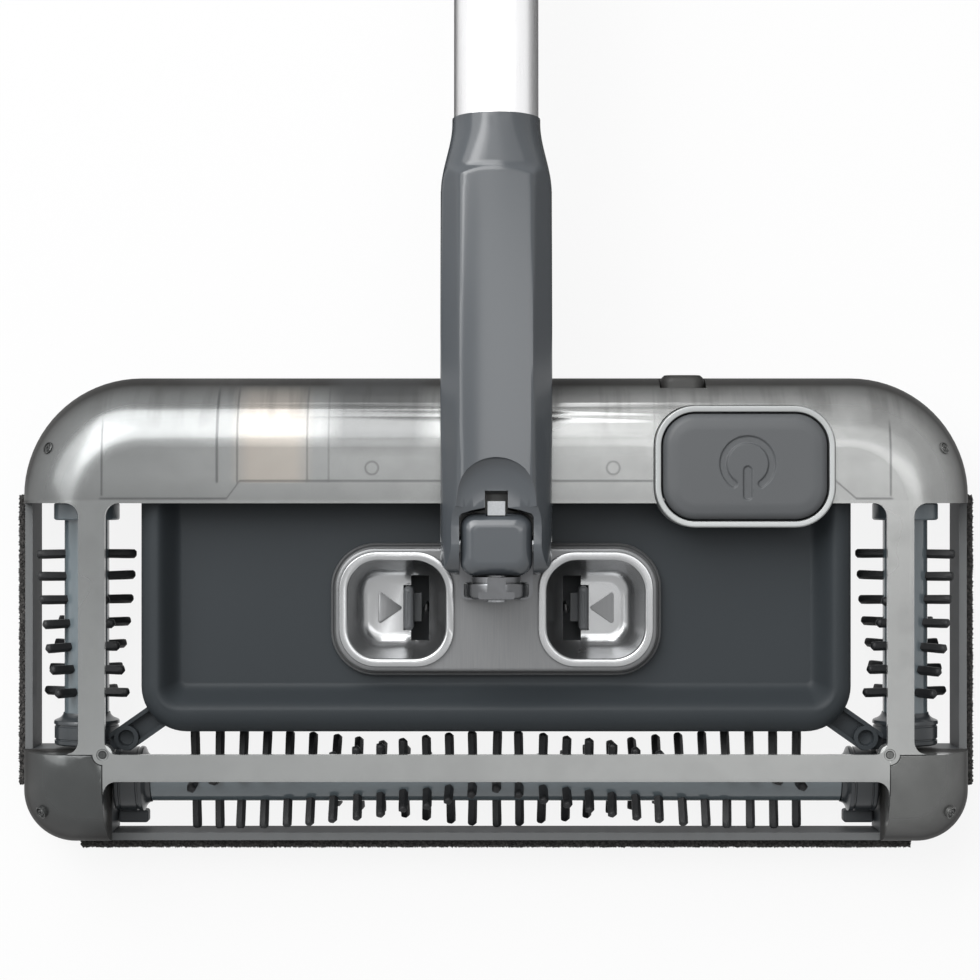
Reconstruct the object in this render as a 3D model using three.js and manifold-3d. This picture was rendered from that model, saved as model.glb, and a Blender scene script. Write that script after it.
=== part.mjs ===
// Cordless sweeper: a flat head with three driven brushes, and a jointed handle that lies back on the floor.
// Millimetres. X runs across the head, +Y to the rear (along the handle), +Z up; the origin is on the floor
// under the middle of the head.
import * as THREE from 'three';
import { mergeVertices } from 'three/addons/utils/BufferGeometryUtils.js';
import Module from 'manifold-3d';

const wasm = await Module();
wasm.setup();

// ---- driving sizes --------------------------------------------------------------------------------------
const gap = 0.3; // between pieces that touch
const running = 0.15; // between a pin and the hole that it turns in
const head = { halfWidth: 164.8, front: -82.1, rear: 79.6, top: 45, skirt: 3.2 };
// how far in from the head's outside each of these lies
const inset = { sideBand: 27.1, seam: 30.9, sideBrush: 21.1, base: 30.3, rearWheel: 44.8, stripEnd: 18.3 };
const back = { frontBand: 32.5, frontBrush: 21.3, stripEnd: 18.6 };
const cornerX = head.halfWidth - inset.seam; // the seam between the front band and a corner cover
const shell = {
  wall: 2.6, fillet: 24.5, rearCorner: 41, frontCorner: 18, humpFront: 36, lip: 1.3, lipHeight: 0.5,
};
const band = {
  centre: head.halfWidth - inset.sideBand, width: 9, front: head.front + back.frontBand, frontWidth: 9.2,
  blend: 4.6,
};
const railTop = head.top - shell.fillet + 0.5;
const boss = { radius: 3.4, hole: 1.2 };

const brush = { axisZ: 17.8, core: 7.8, reach: 17.4, tuft: 1.4, pitch: 8.1, rows: 4, twist: 7.5, stub: 3.5 };
const collar = { radius: 11.4, rearLength: 6, frontLength: 11.2, endLength: 15, sink: 3, seamGap: 0.9 };
const sideBrush = {
  x: head.halfWidth - inset.sideBrush, rearCollar: shell.humpFront, frontCollar: band.front + 12.2,
  firstTuft: shell.humpFront - 16.1, tufts: 7, lead: 20,
};
const frontBrush = {
  y: head.front + back.frontBrush, collar: cornerX - collar.seamGap - collar.endLength, lead: 83,
};
const bevel = {
  teeth: 12, pitchRadius: 7.2, face: 3.4, tip: 0.6, root: 1, width: 1.6, bore: 2.6, spindle: 2.3,
};

const panelClear = { side: 11.6, front: 7.6, rear: 0.9 };
const panel = {
  halfWidth: cornerX - panelClear.side, front: band.front + panelClear.front,
  rear: shell.humpFront + panelClear.rear, corner: 15.8, bottom: 17, shoulder: 33, rim: 39, wall: 2.4,
  flare: 0.5,
};
const dishLip = { side: 5.9, front: 7.7 };
const dishSlope = { side: 7.8, front: 9 };
const dish = {
  halfWidth: panel.halfWidth - dishLip.side, front: panel.front + dishLip.front, corner: 6, floor: 30,
};
const dishFloor = { halfWidth: dish.halfWidth - dishSlope.side, front: dish.front + dishSlope.front };
const strut = { width: 9, low: 26.5, high: 32.5, lip: 1.4 };
const hubPost = { x: cornerX - 6.3, y: band.front + 4.6, radius: 4.2, hole: 1.3 };

const plate = {
  halfWidth: 57, front: -23.5, rear: 22.2, corner: 15.5, step: 1.7, low: 30.3, ledge: 33, top: 36,
};
const well = {
  x: plate.halfWidth - 22.8, y: -0.5, size: 39.4, corner: 12.8, lip: 3, wall: 1.2, lipRise: 1.6, depth: 13.2,
  taper: 3.4,
};
// the release latch, counted from the middle of its well
const latch = {
  outer: well.x - 2.3, thick: 3.2, length: 15.2, slotInner: well.x - 10.9, slotHalf: 11.5, tabTop: 31,
};
const latchBar = {
  low: 17.4, high: 20.6, halfWidth: 5, inner: well.x - 8.2, hookX: well.x + 31.8, hookLow: 9,
};
const latchHold = { guideX: well.x + 17.6, guideLength: 4.6, stopX: well.x - 19.6, stopThick: 2 };
const latchCoil = { radius: 2, wire: 0.4, turns: 5 };

const trayClear = { side: 3.3, front: 3, rear: 4 };
const tray = {
  halfWidth: panel.halfWidth - trayClear.side, front: panel.front + trayClear.front,
  rear: shell.humpFront - trayClear.rear, corner: 16, bottom: 3.4, top: 12, slope: 8, wall: 1.6,
};
const catchPost = { width: 4, top: 15.5, halfLength: 6 };

const pivot = { y: 22.4, z: 60 };
const knuckle = { halfWidth: 11.9, halfLength: 10.3, halfHeight: 10, round: 4.6 };
const lug = {
  front: 4.1, rear: 11.6, radius: 8.2, foot: 39.5, footHalf: 12.6, footFront: 2.9, footRear: 21.6,
};
const ring = { radius: 10.9, front: 4.6, rear: 9.8, keyHalf: 3 };
const rollPin = { radius: 3.4, front: 3.2, rear: 17 };
const pitchPin = { radius: 3, halfLength: 17.6 };
const tongue = { halfWidth: 2.9, reach: 14.4, low: 3.6, high: 7.6 };

const neck = { radius: 18.65, flatTop: 15.5, flatHalf: 12.2, chamferZ: 5, fork: 12.3, web: 13, prong: 10.2 };
const tube = { radius: 14.2, wall: 1.2, start: 122, first: 420, second: 690, end: 1026, spigot: 32 };
const neckRun = {
  straightEnd: 117.7, collarStart: 139.3, end: 144.2, collarRadius: tube.radius + 0.9, scallop: 14.4,
};
const neckSlot = { halfWidth: 3.8, end: 17.4 };
const scallop = { end: 28.4, depth: 3.4 };
const grip = { start: 905, end: tube.end + 7, radius: tube.radius + 2, waist: tube.radius + 1.4 };
const cap = { length: 26, hole: 5, endRadius: tube.radius - 3.7, plug: 20 };
const channelGap = 2.4; // between the neck and the trough that it lies in


const baseSide = head.halfWidth - inset.base;
const bay = { motor: 43.5, gears: 20.5 }; // widths of the deep bays at the two ends of the base
const base = {
  floor: 2, low: 4, sideX: baseSide, wall: 2, front: shell.humpFront + 1.5, setback: shell.humpFront + 6.5,
  left: bay.motor - baseSide, right: baseSide - bay.gears, slant: 6,
};
const pedalSize = { width: 55.8, length: 35.9, rightGap: 1.6, rearGap: 13.2 };
const pedal = {
  x0: base.right - pedalSize.rightGap - pedalSize.width, x1: base.right - pedalSize.rightGap,
  y0: head.rear - pedalSize.rearGap - pedalSize.length, y1: head.rear - pedalSize.rearGap,
  corner: 11, top: 49.4, low: 40.4, bevel: 2.8, wall: 2,
};
const bezel = { gap: 0.5, width: 2.3, low: 34.6, top: 47.2 };
const pedalPost = { x: (pedal.x0 + pedal.x1) / 2, y: base.setback + 10.5, radius: 3.2, low: 33 };
const pedalCoil = { radius: 4.4, wire: 0.5, turns: 5 };
const socket = { x: pedalPost.x - 20, width: 15.4, length: 12, low: 24, high: 33.5, proud: 0.6 };
const bearingWall = 1.3;
const drive = { motorInset: 36.8, motorLength: 41.2, batteryGap: 10.5, boardGap: 14 };
const motor = {
  y: head.rear - 24, left: drive.motorInset - base.sideX, length: drive.motorLength, radius: 10.4, shaft: 2,
};
const board = {
  x0: pedalPost.x - 24.5, x1: pedalPost.x + 23.5, y0: base.setback + 4.5, y1: base.setback + 18.5, low: 16,
  thick: 1.6,
};
const battery = {
  x0: motor.left + motor.length + drive.batteryGap, x1: board.x0 - drive.boardGap,
  y0: base.setback + 4.5, y1: head.rear - 7.6, low: 6.4, cell: 9,
};
const switchBody = {
  x0: pedalPost.x - 10, x1: pedalPost.x + 6, length: 11, high: 27, plunger: 28.6, plungerHalf: 2,
};

const rearWheel = { x: head.halfWidth - inset.rearWheel, y: head.rear - 11.4, radius: 8, width: 8 };
const frontWheel = { x: tray.halfWidth + 0.6, y: tray.front + 1.4, radius: 6, width: 4.6 };
const axle = { radius: 1.3, over: 2.2 };
const strip = {
  thick: 2.2, low: 4.6, high: 15.5, sideFront: head.front + back.stripEnd, sideRear: shell.humpFront + 2.8,
  frontHalf: head.halfWidth - inset.stripEnd,
};

const facets = { large: 20, round: 14, small: 8, tuft: 3, arc: 3 };
const deg = Math.PI / 180;
const handleSlope = Math.asin((pivot.z - grip.radius - 0.2) / grip.end);

// ---- solids ---------------------------------------------------------------------------------------------
function toSolid(geometry) {
  const bare = geometry.clone();
  bare.deleteAttribute('normal');
  bare.deleteAttribute('uv');
  const merged = mergeVertices(bare, 1e-4);
  const faces = [];
  const index = merged.index.array;
  for (let i = 0; i < index.length; i += 3) {
    const [a, b, c] = [index[i], index[i + 1], index[i + 2]];
    if (a !== b && b !== c && c !== a) faces.push(a, b, c);
  }
  const vertProperties = Float32Array.from(merged.attributes.position.array);
  const triVerts = Uint32Array.from(faces);
  return new wasm.Manifold(new wasm.Mesh({ numProp: 3, vertProperties, triVerts }));
}

function toGeometry(solid) {
  const data = solid.getMesh();
  const geometry = new THREE.BufferGeometry();
  geometry.setAttribute('position', new THREE.BufferAttribute(Float32Array.from(data.vertProperties), 3));
  geometry.setIndex(Array.from(data.triVerts));
  geometry.computeVertexNormals();
  return geometry;
}

function cut(solid, ...tools) {
  return tools.reduce((left, tool) => left.subtract(tool), solid);
}

function join(first, ...others) {
  return others.reduce((sum, other) => sum.add(other), first);
}

function box(x0, x1, y0, y1, z0, z1) {
  const geometry = new THREE.BoxGeometry(x1 - x0, y1 - y0, z1 - z0);
  return toSolid(geometry.translate((x0 + x1) / 2, (y0 + y1) / 2, (z0 + z1) / 2));
}

// a cylinder between two points
function rod(from, to, radius, sides = facets.round) {
  const start = new THREE.Vector3(...from);
  const run = new THREE.Vector3(...to).sub(start);
  const geometry = new THREE.CylinderGeometry(radius, radius, run.length(), sides);
  geometry.translate(0, run.length() / 2, 0);
  const turn = new THREE.Quaternion().setFromUnitVectors(new THREE.Vector3(0, 1, 0), run.normalize());
  geometry.applyQuaternion(turn);
  return toSolid(geometry.translate(...from));
}

function arcPoints(x, y, radius, fromDeg, toDeg, steps) {
  const points = [];
  for (let k = 0; k <= steps; k += 1) {
    const angle = (fromDeg + ((toDeg - fromDeg) * k) / steps) * deg;
    points.push([x + radius * Math.cos(angle), y + radius * Math.sin(angle)]);
  }
  return points;
}

// a rounded rectangle, counter-clockwise, with its own corner radius at the front and at the rear
function roundedRect(x0, x1, y0, y1, frontRadius, rearRadius = frontRadius, steps = facets.arc) {
  const f = frontRadius;
  const r = rearRadius;
  return [
    ...arcPoints(x0 + f, y0 + f, f, 180, 270, steps),
    ...arcPoints(x1 - f, y0 + f, f, 270, 360, steps),
    ...arcPoints(x1 - r, y1 - r, r, 0, 90, steps),
    ...arcPoints(x0 + r, y1 - r, r, 90, 180, steps),
  ];
}

function slab(outline, low, high) {
  const shape = new THREE.Shape(outline.map(([x, y]) => new THREE.Vector2(x, y)));
  const geometry = new THREE.ExtrudeGeometry(shape, { depth: high - low, bevelEnabled: false });
  return toSolid(geometry.translate(0, 0, low));
}

// a closed skin through outlines of equal point count, each at its own height
function loft(levels) {
  const count = levels[0].outline.length;
  const positions = levels.flatMap(({ outline, z }) => outline.flatMap(([x, y]) => [x, y, z]));
  const faces = [];
  for (let level = 0; level + 1 < levels.length; level += 1) {
    for (let k = 0; k < count; k += 1) {
      const a = level * count + k;
      const b = level * count + ((k + 1) % count);
      faces.push(a, b, b + count, a, b + count, a + count);
    }
  }
  const capOf = (level) => {
    const contour = levels[level].outline.map(([x, y]) => new THREE.Vector2(x, y));
    return THREE.ShapeUtils.triangulateShape(contour, []);
  };
  const topStart = (levels.length - 1) * count;
  capOf(0).forEach(([a, b, c]) => faces.push(a, c, b));
  capOf(levels.length - 1).forEach(([a, b, c]) => faces.push(topStart + a, topStart + b, topStart + c));
  const geometry = new THREE.BufferGeometry();
  geometry.setAttribute('position', new THREE.BufferAttribute(Float32Array.from(positions), 3));
  geometry.setIndex(faces);
  return toSolid(geometry);
}

// a revolved profile of [radius, distance] pairs, turned so that its axis runs along x, y or z
function revolve(profile, axis, sides = facets.round) {
  const geometry = new THREE.LatheGeometry(profile.map(([r, d]) => new THREE.Vector2(r, d)), sides);
  if (axis === 'x') geometry.rotateZ(-90 * deg);
  if (axis === 'z') geometry.rotateX(90 * deg);
  const solid = toSolid(geometry);
  return solid.volume() > 0 ? solid : toSolid(flipped(geometry));
}

function flipped(geometry) {
  const index = Array.from(geometry.index.array);
  for (let i = 0; i < index.length; i += 3) {
    [index[i], index[i + 1]] = [index[i + 1], index[i]];
  }
  geometry.setIndex(index);
  return geometry;
}

const mirrorX = (solid) => solid.mirror([1, 0, 0]);
const moved = (solid, x, y, z) => solid.translate([x, y, z]);

// ---- materials ------------------------------------------------------------------------------------------
function finish(color, roughness, metalness = 0, opacity = 1) {
  const see = opacity < 1;
  return new THREE.MeshStandardMaterial({ color, roughness, metalness, opacity, transparent: see });
}

const smoke = () => finish(0x8c8f90, 0.25, 0, 0.55);
const charcoal = () => finish(0x3d3f41, 0.5);
const slate = () => finish(0x5f6468, 0.3);
const brushedGrey = () => finish(0x7e7f80, 0.4, 0.6);
const silver = () => finish(0xb9babb, 0.25, 0.9);
const steel = () => finish(0x9a9c9e, 0.3, 1);
const bristle = () => finish(0x1f2021, 0.7);
const rubber = () => finish(0x2b2b2c, 0.9);

// ---- the head's outer form ------------------------------------------------------------------------------
// the outline at a height, drawn in by the same amount on every side
function headOutline(drawnIn) {
  const w = head.halfWidth - drawnIn;
  const frontRadius = Math.max(shell.frontCorner - drawnIn, 1);
  const rearRadius = Math.max(shell.rearCorner - drawnIn, 1);
  return roundedRect(-w, w, head.front + drawnIn, head.rear - drawnIn, frontRadius, rearRadius, 7);
}

// a flat-topped body with a large fillet round its top edge
function pillow(drawnIn, low) {
  const radius = shell.fillet - drawnIn;
  const shoulder = head.top - shell.fillet;
  const levels = [{ outline: headOutline(drawnIn), z: low }];
  const steps = 6;
  for (let k = 0; k <= steps; k += 1) {
    const angle = (90 * deg * k) / steps;
    const outline = headOutline(drawnIn + radius * (1 - Math.cos(angle)));
    levels.push({ outline, z: shoulder + radius * Math.sin(angle) });
  }
  return loft(levels);
}

const trough = (extra) => {
  const radius = neck.radius + channelGap + extra;
  return rod([0, pivot.y - 4, pivot.z], [0, head.rear + 20, pivot.z], radius, 2 * facets.large);
};

const far = 200;
const spineHalf = neck.radius + gap;
const spineFront = plate.rear + 2 * gap;

function topShell() {
  const { wall } = shell;
  const spine = box(-spineHalf, spineHalf, spineFront, shell.humpFront + wall, 34, head.top);
  const outside = cut(join(pillow(0, head.skirt), spine), trough(0));
  const spineInside = box(
    -spineHalf + wall, spineHalf - wall, spineFront + wall, shell.humpFront + 2 * wall, 0, head.top - wall);
  const inside = cut(join(pillow(wall, head.skirt - 5), spineInside), trough(wall));
  let body = cut(outside, inside);
  // the lip along the lower edge of the rails
  const lip = cut(
    slab(headOutline(wall - gap), head.skirt, head.skirt + shell.lipHeight),
    slab(headOutline(wall + shell.lip), head.skirt - 1, head.skirt + 1));
  body = join(body, cut(lip, box(-far, far, shell.humpFront, far, 0, railTop)));
  // windows: the middle one, one outside each side band and one in front of the front band
  const bandIn = band.centre - band.width / 2;
  const bandOut = band.centre + band.width / 2;
  const over = head.top + 5;
  const middle = cut(
    slab(roundedRect(-bandIn, bandIn, band.front, shell.humpFront, band.blend), railTop, over),
    box(-spineHalf, spineHalf, spineFront, far, 0, over));
  const underMiddle = box(-bandIn, bandIn, band.front, shell.humpFront, head.skirt - 1, 33.5);
  body = cut(body, middle, underMiddle);
  const sideWindow = slab(roundedRect(bandOut, far, band.front, shell.humpFront, band.blend), railTop, over);
  body = cut(body, sideWindow, mirrorX(sideWindow));
  const frontEdge = band.front - band.frontWidth;
  body = cut(body, slab(roundedRect(-cornerX, cornerX, -far, frontEdge, band.blend), railTop, over));
  // the corner covers are pieces of their own; a screw boss ties the side and front bands together
  const bossRod = (r, low) => rod([cornerX, band.front, low], [cornerX, band.front, head.top], r);
  const cornerRoom = box(cornerX, far, -far, band.front + 0.05, railTop - 0.02, over);
  body = cut(body, cornerRoom, mirrorX(cornerRoom));
  const bosses = bossRod(boss.radius, head.top - 5);
  const holes = bossRod(boss.hole, 30);
  body = cut(join(body, bosses, mirrorX(bosses)), holes, mirrorX(holes));
  body = cut(body, slab(bezelOutline(bezel.width + gap), 30, over));
  return cut(body, box(
    socket.x - socket.width / 2 - gap, socket.x + socket.width / 2 + gap, head.rear - socket.length, far,
    socket.low - gap, socket.high + gap));
}

function bezelOutline(grow) {
  const g = bezel.gap + grow;
  return roundedRect(pedal.x0 - g, pedal.x1 + g, pedal.y0 - g, pedal.y1 + g, pedal.corner + g);
}

function cornerCover() {
  const skin = cut(pillow(0, railTop), pillow(shell.wall, railTop - 5));
  const region = box(cornerX + gap, far, -far, band.front - gap, railTop + gap, head.top + 5);
  const notch = rod([cornerX, band.front, 0], [cornerX, band.front, head.top + 5], boss.radius + gap);
  return cut(skin.intersect(region), notch);
}

// ---- centre panel, plate and finger wells ---------------------------------------------------------------
function panelOutline(drawnIn) {
  const w = panel.halfWidth - drawnIn;
  const radius = Math.max(panel.corner - drawnIn, 1);
  return roundedRect(-w, w, panel.front + drawnIn, panel.rear + 30, radius, 1);
}

function panelForm(drawnIn, low) {
  const run = panel.halfWidth - dish.halfWidth;
  const rise = panel.rim - panel.shoulder;
  const levels = [{ outline: panelOutline(drawnIn - panel.flare), z: low }];
  for (const angle of [0, 30, 60, 90]) {
    const inward = run * (1 - Math.cos(angle * deg));
    const z = panel.shoulder - drawnIn + rise * Math.sin(angle * deg);
    levels.push({ outline: panelOutline(drawnIn + inward), z });
  }
  return loft(levels);
}

// the sunk middle of the panel, grown by an amount to make the inside of the wall below it
function dishForm(grow) {
  const at = (halfWidth, front, corner, z) => {
    const w = halfWidth + grow;
    return { outline: roundedRect(-w, w, front - grow, panel.rear + far, corner, 1), z };
  };
  const extra = (panel.rim - dish.floor) / 8;
  const slopeX = dishSlope.side / 8;
  const slopeY = dishSlope.front / 8;
  return loft([
    at(dishFloor.halfWidth, dishFloor.front, 1.5, dish.floor - grow),
    at(dish.halfWidth, dish.front, dish.corner, panel.rim),
    at(dish.halfWidth + slopeX, dish.front - slopeY, dish.corner, panel.rim + extra),
  ]);
}

// channel-section arm from the panel's corner to the corner base
function strutArm() {
  const end = [cornerX - gap, band.front + 0.5];
  const start = [dishFloor.halfWidth + 5, dish.front];
  const run = new THREE.Vector2(end[0] - start[0], end[1] - start[1]);
  const length = run.length();
  const half = strut.width / 2;
  const arm = join(
    box(0, length, -half, half, strut.low, strut.high - 3),
    box(0, length, half - strut.lip, half, strut.low, strut.high),
    box(0, length, -half, -half + strut.lip, strut.low, strut.high));
  const turned = arm.rotate([0, 0, Math.atan2(run.y, run.x) / deg]).translate([start[0], start[1], 0]);
  const post = rod(
    [hubPost.x, hubPost.y, strut.low], [hubPost.x, hubPost.y, strut.high + 0.8], hubPost.radius);
  const trimmed = cut(join(turned, post), box(cornerX - gap, far, -far, far, 0, far));
  return cut(trimmed, box(-far, far, -far, band.front + 0.2, 0, far));
}

// a fork below the strut that holds the small front wheel
function wheelFork() {
  const { x, y, radius, width } = frontWheel;
  const inner = width / 2 + gap;
  const cheek = (x0) => join(
    box(x0, x0 + 1.5, y - 3, y + 3, radius, strut.low + 1),
    rod([x0, y, radius], [x0 + 1.5, y, radius], 3, facets.small));
  const fork = join(cheek(x - inner - 1.5), cheek(x + inner));
  const bore = rod([x - 9, y, radius], [x + 9, y, radius], axle.radius + running);
  return cut(fork, bore);
}

function centrePanel() {
  const { wall } = panel;
  const room = cut(panelForm(wall, panel.bottom - 1), dishForm(wall));
  let body = cut(panelForm(0, panel.bottom), dishForm(0), room);
  body = cut(body, box(-far, far, panel.rear, far, 0, far));
  const arm = join(strutArm(), wheelFork());
  const clearRoom = room.intersect(box(-far, far, -far, far, 0, strut.low - 6));
  const arms = join(arm, mirrorX(arm));
  body = join(body, cut(arms, clearRoom, dishForm(0)));
  const screw = rod(
    [hubPost.x, hubPost.y, strut.low - 1], [hubPost.x, hubPost.y, strut.high + 2],
    hubPost.hole, facets.small);
  const wells = slab(wellOutline(well.lip - 0.5), dish.floor - 5, dish.floor + 5);
  const { x, y, radius, width } = frontWheel;
  const half = width / 2 + gap;
  const wheelRoom = rod([x - half, y, radius], [x + half, y, radius], radius + 2 * gap);
  const bezelRoom = slab(bezelOutline(bezel.width + gap), bezel.low - gap, panel.rim + 5);
  return cut(body, screw, mirrorX(screw), wells, mirrorX(wells), wheelRoom, mirrorX(wheelRoom), bezelRoom);
}

function wellOutline(drawnIn) {
  const half = well.size / 2 - drawnIn;
  const corner = Math.max(well.corner - drawnIn, 1.5);
  return roundedRect(well.x - half, well.x + half, well.y - half, well.y + half, corner);
}

// below the panel: a sleeve that guides the latch bar, and the stop that its spring pushes against
function latchSupports() {
  const { low, high, halfWidth } = latchBar;
  const { guideX, guideLength, stopX, stopThick } = latchHold;
  const end = guideX + guideLength;
  const reach = halfWidth + gap;
  const outer = box(guideX, end, well.y - halfWidth - 2, well.y + halfWidth + 2, low - 2, dish.floor - 1);
  const stop = box(
    stopX, stopX + stopThick, well.y - halfWidth, well.y + halfWidth, low - 2, dish.floor - 1);
  const sleeve = box(guideX - 1, end + 1, well.y - reach, well.y + reach, low - gap, high + gap);
  return join(cut(outer, sleeve), stop);
}

function wellPlate() {
  const outline = (drawnIn) => roundedRect(
    -plate.halfWidth + drawnIn, plate.halfWidth - drawnIn, plate.front + drawnIn, plate.rear - drawnIn,
    plate.corner - drawnIn);
  const body = join(
    slab(outline(0), plate.low, plate.ledge),
    slab(outline(plate.step), plate.ledge - 0.1, plate.top));
  const hole = slab(wellOutline(well.lip - 0.5), plate.low - 1, plate.top + 1);
  return cut(body, hole, mirrorX(hole));
}

// a drafted cup with a flat lip, a slot for the release tab and an arrow beside it
function fingerWell() {
  const top = plate.top + well.lipRise;
  const floor = top - well.depth;
  const cup = (drawnIn, low) => loft([
    { outline: wellOutline(drawnIn + well.taper), z: low },
    { outline: wellOutline(drawnIn + well.taper * 0.45), z: low + 1.6 },
    { outline: wellOutline(drawnIn + well.taper * 0.2), z: low + 4 },
    { outline: wellOutline(drawnIn), z: top },
  ]);
  const lip = slab(wellOutline(0), plate.top + gap, top);
  const above = (drawnIn) => slab(wellOutline(drawnIn), top - 0.1, top + 2);
  const inner = join(cup(well.lip + well.wall, floor), above(well.lip + well.wall));
  const { slotInner, slotHalf, outer } = latch;
  const slot = box(slotInner, outer + 0.4, well.y - slotHalf, well.y + slotHalf, floor - 5, floor + 3);
  const arrowX = latch.outer + 0.8;
  const arrowOutline = [[arrowX, well.y], [arrowX + 8, well.y - 5], [arrowX + 8, well.y + 5]];
  const arrow = slab(arrowOutline, floor - 0.5, floor + 0.7);
  const shellOfCup = cut(join(lip, cup(well.lip, floor - well.wall)), inner);
  return join(cut(shellOfCup, slot), arrow);
}

function releaseLatch() {
  const { low, high, halfWidth, inner, hookX, hookLow } = latchBar;
  const half = latch.length / 2;
  const tab = box(latch.outer - latch.thick, latch.outer, well.y - half, well.y + half, low, latch.tabTop);
  const bar = box(inner, hookX, well.y - halfWidth, well.y + halfWidth, low, high);
  const hook = box(hookX - 4, hookX, well.y - halfWidth, well.y + halfWidth, hookLow, high);
  return join(bar, tab, hook);
}

// ---- springs --------------------------------------------------------------------------------------------
class Helix extends THREE.Curve {
  constructor(radius, length, turns) {
    super();
    Object.assign(this, { radius, length, turns });
  }

  getPoint(t, target = new THREE.Vector3()) {
    const angle = 2 * Math.PI * this.turns * t;
    return target.set(this.radius * Math.cos(angle), this.radius * Math.sin(angle), this.length * t);
  }
}

// a coil that fills a length along +Z, its wire included
function spring({ radius, wire, turns }, length) {
  const section = new THREE.Shape();
  section.absarc(0, 0, wire, 0, 2 * Math.PI);
  const path = new Helix(radius, length - 2 * wire, turns);
  const options = { extrudePath: path, steps: turns * 7, curveSegments: 2, bevelEnabled: false };
  return moved(toSolid(new THREE.ExtrudeGeometry(section, options)), 0, 0, wire);
}

// ---- dust tray ------------------------------------------------------------------------------------------
function dustTray() {
  const level = (drawnIn, z) => {
    const w = tray.halfWidth - drawnIn;
    const corner = Math.max(tray.corner - drawnIn, 2);
    return { outline: roundedRect(-w, w, tray.front + drawnIn, tray.rear - drawnIn, corner, 5), z };
  };
  const outer = loft([level(0, tray.bottom), level(0.4, tray.bottom + 1), level(tray.slope, tray.top)]);
  const inner = loft([
    level(tray.slope + tray.wall, tray.bottom + tray.wall),
    level(tray.slope + tray.wall, tray.top + 1),
  ]);
  const x0 = latchBar.hookX + gap;
  const post = box(
    x0, x0 + catchPost.width, well.y - catchPost.halfLength, well.y + catchPost.halfLength,
    tray.bottom + 1, catchPost.top);
  return join(cut(outer, inner), post, mirrorX(post));
}

// ---- brushes and their gears ----------------------------------------------------------------------------
// the brush stands along +Z with its middle at the origin, then it is laid along its own axis
function brushSolid(from, to, tufts, spindles) {
  let body = rod([0, 0, from], [0, 0, to], brush.core, facets.small);
  for (const { start, end, radius } of spindles) {
    body = join(body, rod([0, 0, start], [0, 0, end], radius, facets.small));
  }
  for (const { along, angle } of tufts) {
    for (let row = 0; row < brush.rows; row += 1) {
      const turn = (angle + (360 * row) / brush.rows) * deg;
      const at = (r) => [r * Math.cos(turn), r * Math.sin(turn), along];
      body = join(body, rod(at(brush.core - 2), at(brush.reach), brush.tuft, facets.tuft));
    }
  }
  return body;
}

const coreSink = collar.sink - gap; // how far a core reaches into its end collar
const gearBack = bevel.pitchRadius;
const gearToe = bevel.pitchRadius - bevel.face;

// left brush: its own +Z lies along +Y; the angle is counted from outwards (-X) up
function sideBrushSolid() {
  const tufts = [];
  for (let k = 0; k < sideBrush.tufts; k += 1) {
    tufts.push({ along: sideBrush.firstTuft - k * brush.pitch, angle: sideBrush.lead + brush.twist * k });
  }
  const { rearCollar, frontCollar } = sideBrush;
  const frontEnd = frontCollar - collar.frontLength;
  const solid = brushSolid(frontCollar - coreSink, rearCollar - collar.rearLength + coreSink, tufts, [
    { start: frontBrush.y + gearBack + gap, end: frontCollar, radius: brush.stub },
    { start: frontBrush.y + gearToe, end: frontEnd, radius: bevel.spindle },
    { start: rearCollar - collar.rearLength, end: motor.y - gearBack - gap, radius: brush.stub },
    { start: rearCollar, end: motor.y - gearToe, radius: bevel.spindle },
  ]);
  // +Z to +Y, +X to -X and +Y to +Z
  return solid.transform([-1, 0, 0, 0, 0, 0, 1, 0, 0, 1, 0, 0, -sideBrush.x, 0, brush.axisZ, 1]);
}

// front brush: its own +Z lies along -X; the angle is counted from forwards (-Y) up
function frontBrushSolid() {
  const tufts = [];
  const eachSide = Math.floor((frontBrush.collar - 10) / brush.pitch);
  for (let k = -eachSide; k <= eachSide; k += 1) {
    tufts.push({ along: k * brush.pitch, angle: frontBrush.lead - brush.twist * Math.abs(k) });
  }
  const end = frontBrush.collar + coreSink;
  const stubEnd = sideBrush.x - gearBack - gap;
  const solid = brushSolid(-end, end, tufts, [
    { start: -stubEnd, end: stubEnd, radius: brush.stub },
    { start: -sideBrush.x + gearToe, end: sideBrush.x - gearToe, radius: bevel.spindle },
  ]);
  // +Z to -X, +X to -Y and +Y to +Z
  return solid.transform([0, -1, 0, 0, 0, 0, 1, 0, -1, 0, 0, 0, 0, frontBrush.y, brush.axisZ, 1]);
}

// end collar along Y or X, open at the side that hides the end of the core
function collarSolid(from, to, coreSide, axis) {
  const inward = Math.sign(coreSide - (from + to) / 2);
  const mouth = inward > 0 ? to : from;
  const shoulder = mouth - inward * collar.sink;
  const start = Math.min(from, to);
  const finishEnd = Math.max(from, to);
  const at = (d) => (axis === 'y' ? [0, d, 0] : [d, 0, 0]);
  const outer = rod(at(start), at(finishEnd), collar.radius);
  const bore = rod(at(start - 1), at(finishEnd + 1), brush.stub + gap, facets.small);
  const cupEnds = [shoulder, mouth + inward];
  const cup = rod(at(Math.min(...cupEnds)), at(Math.max(...cupEnds)), brush.core + gap);
  return cut(outer, bore, cup);
}

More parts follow.
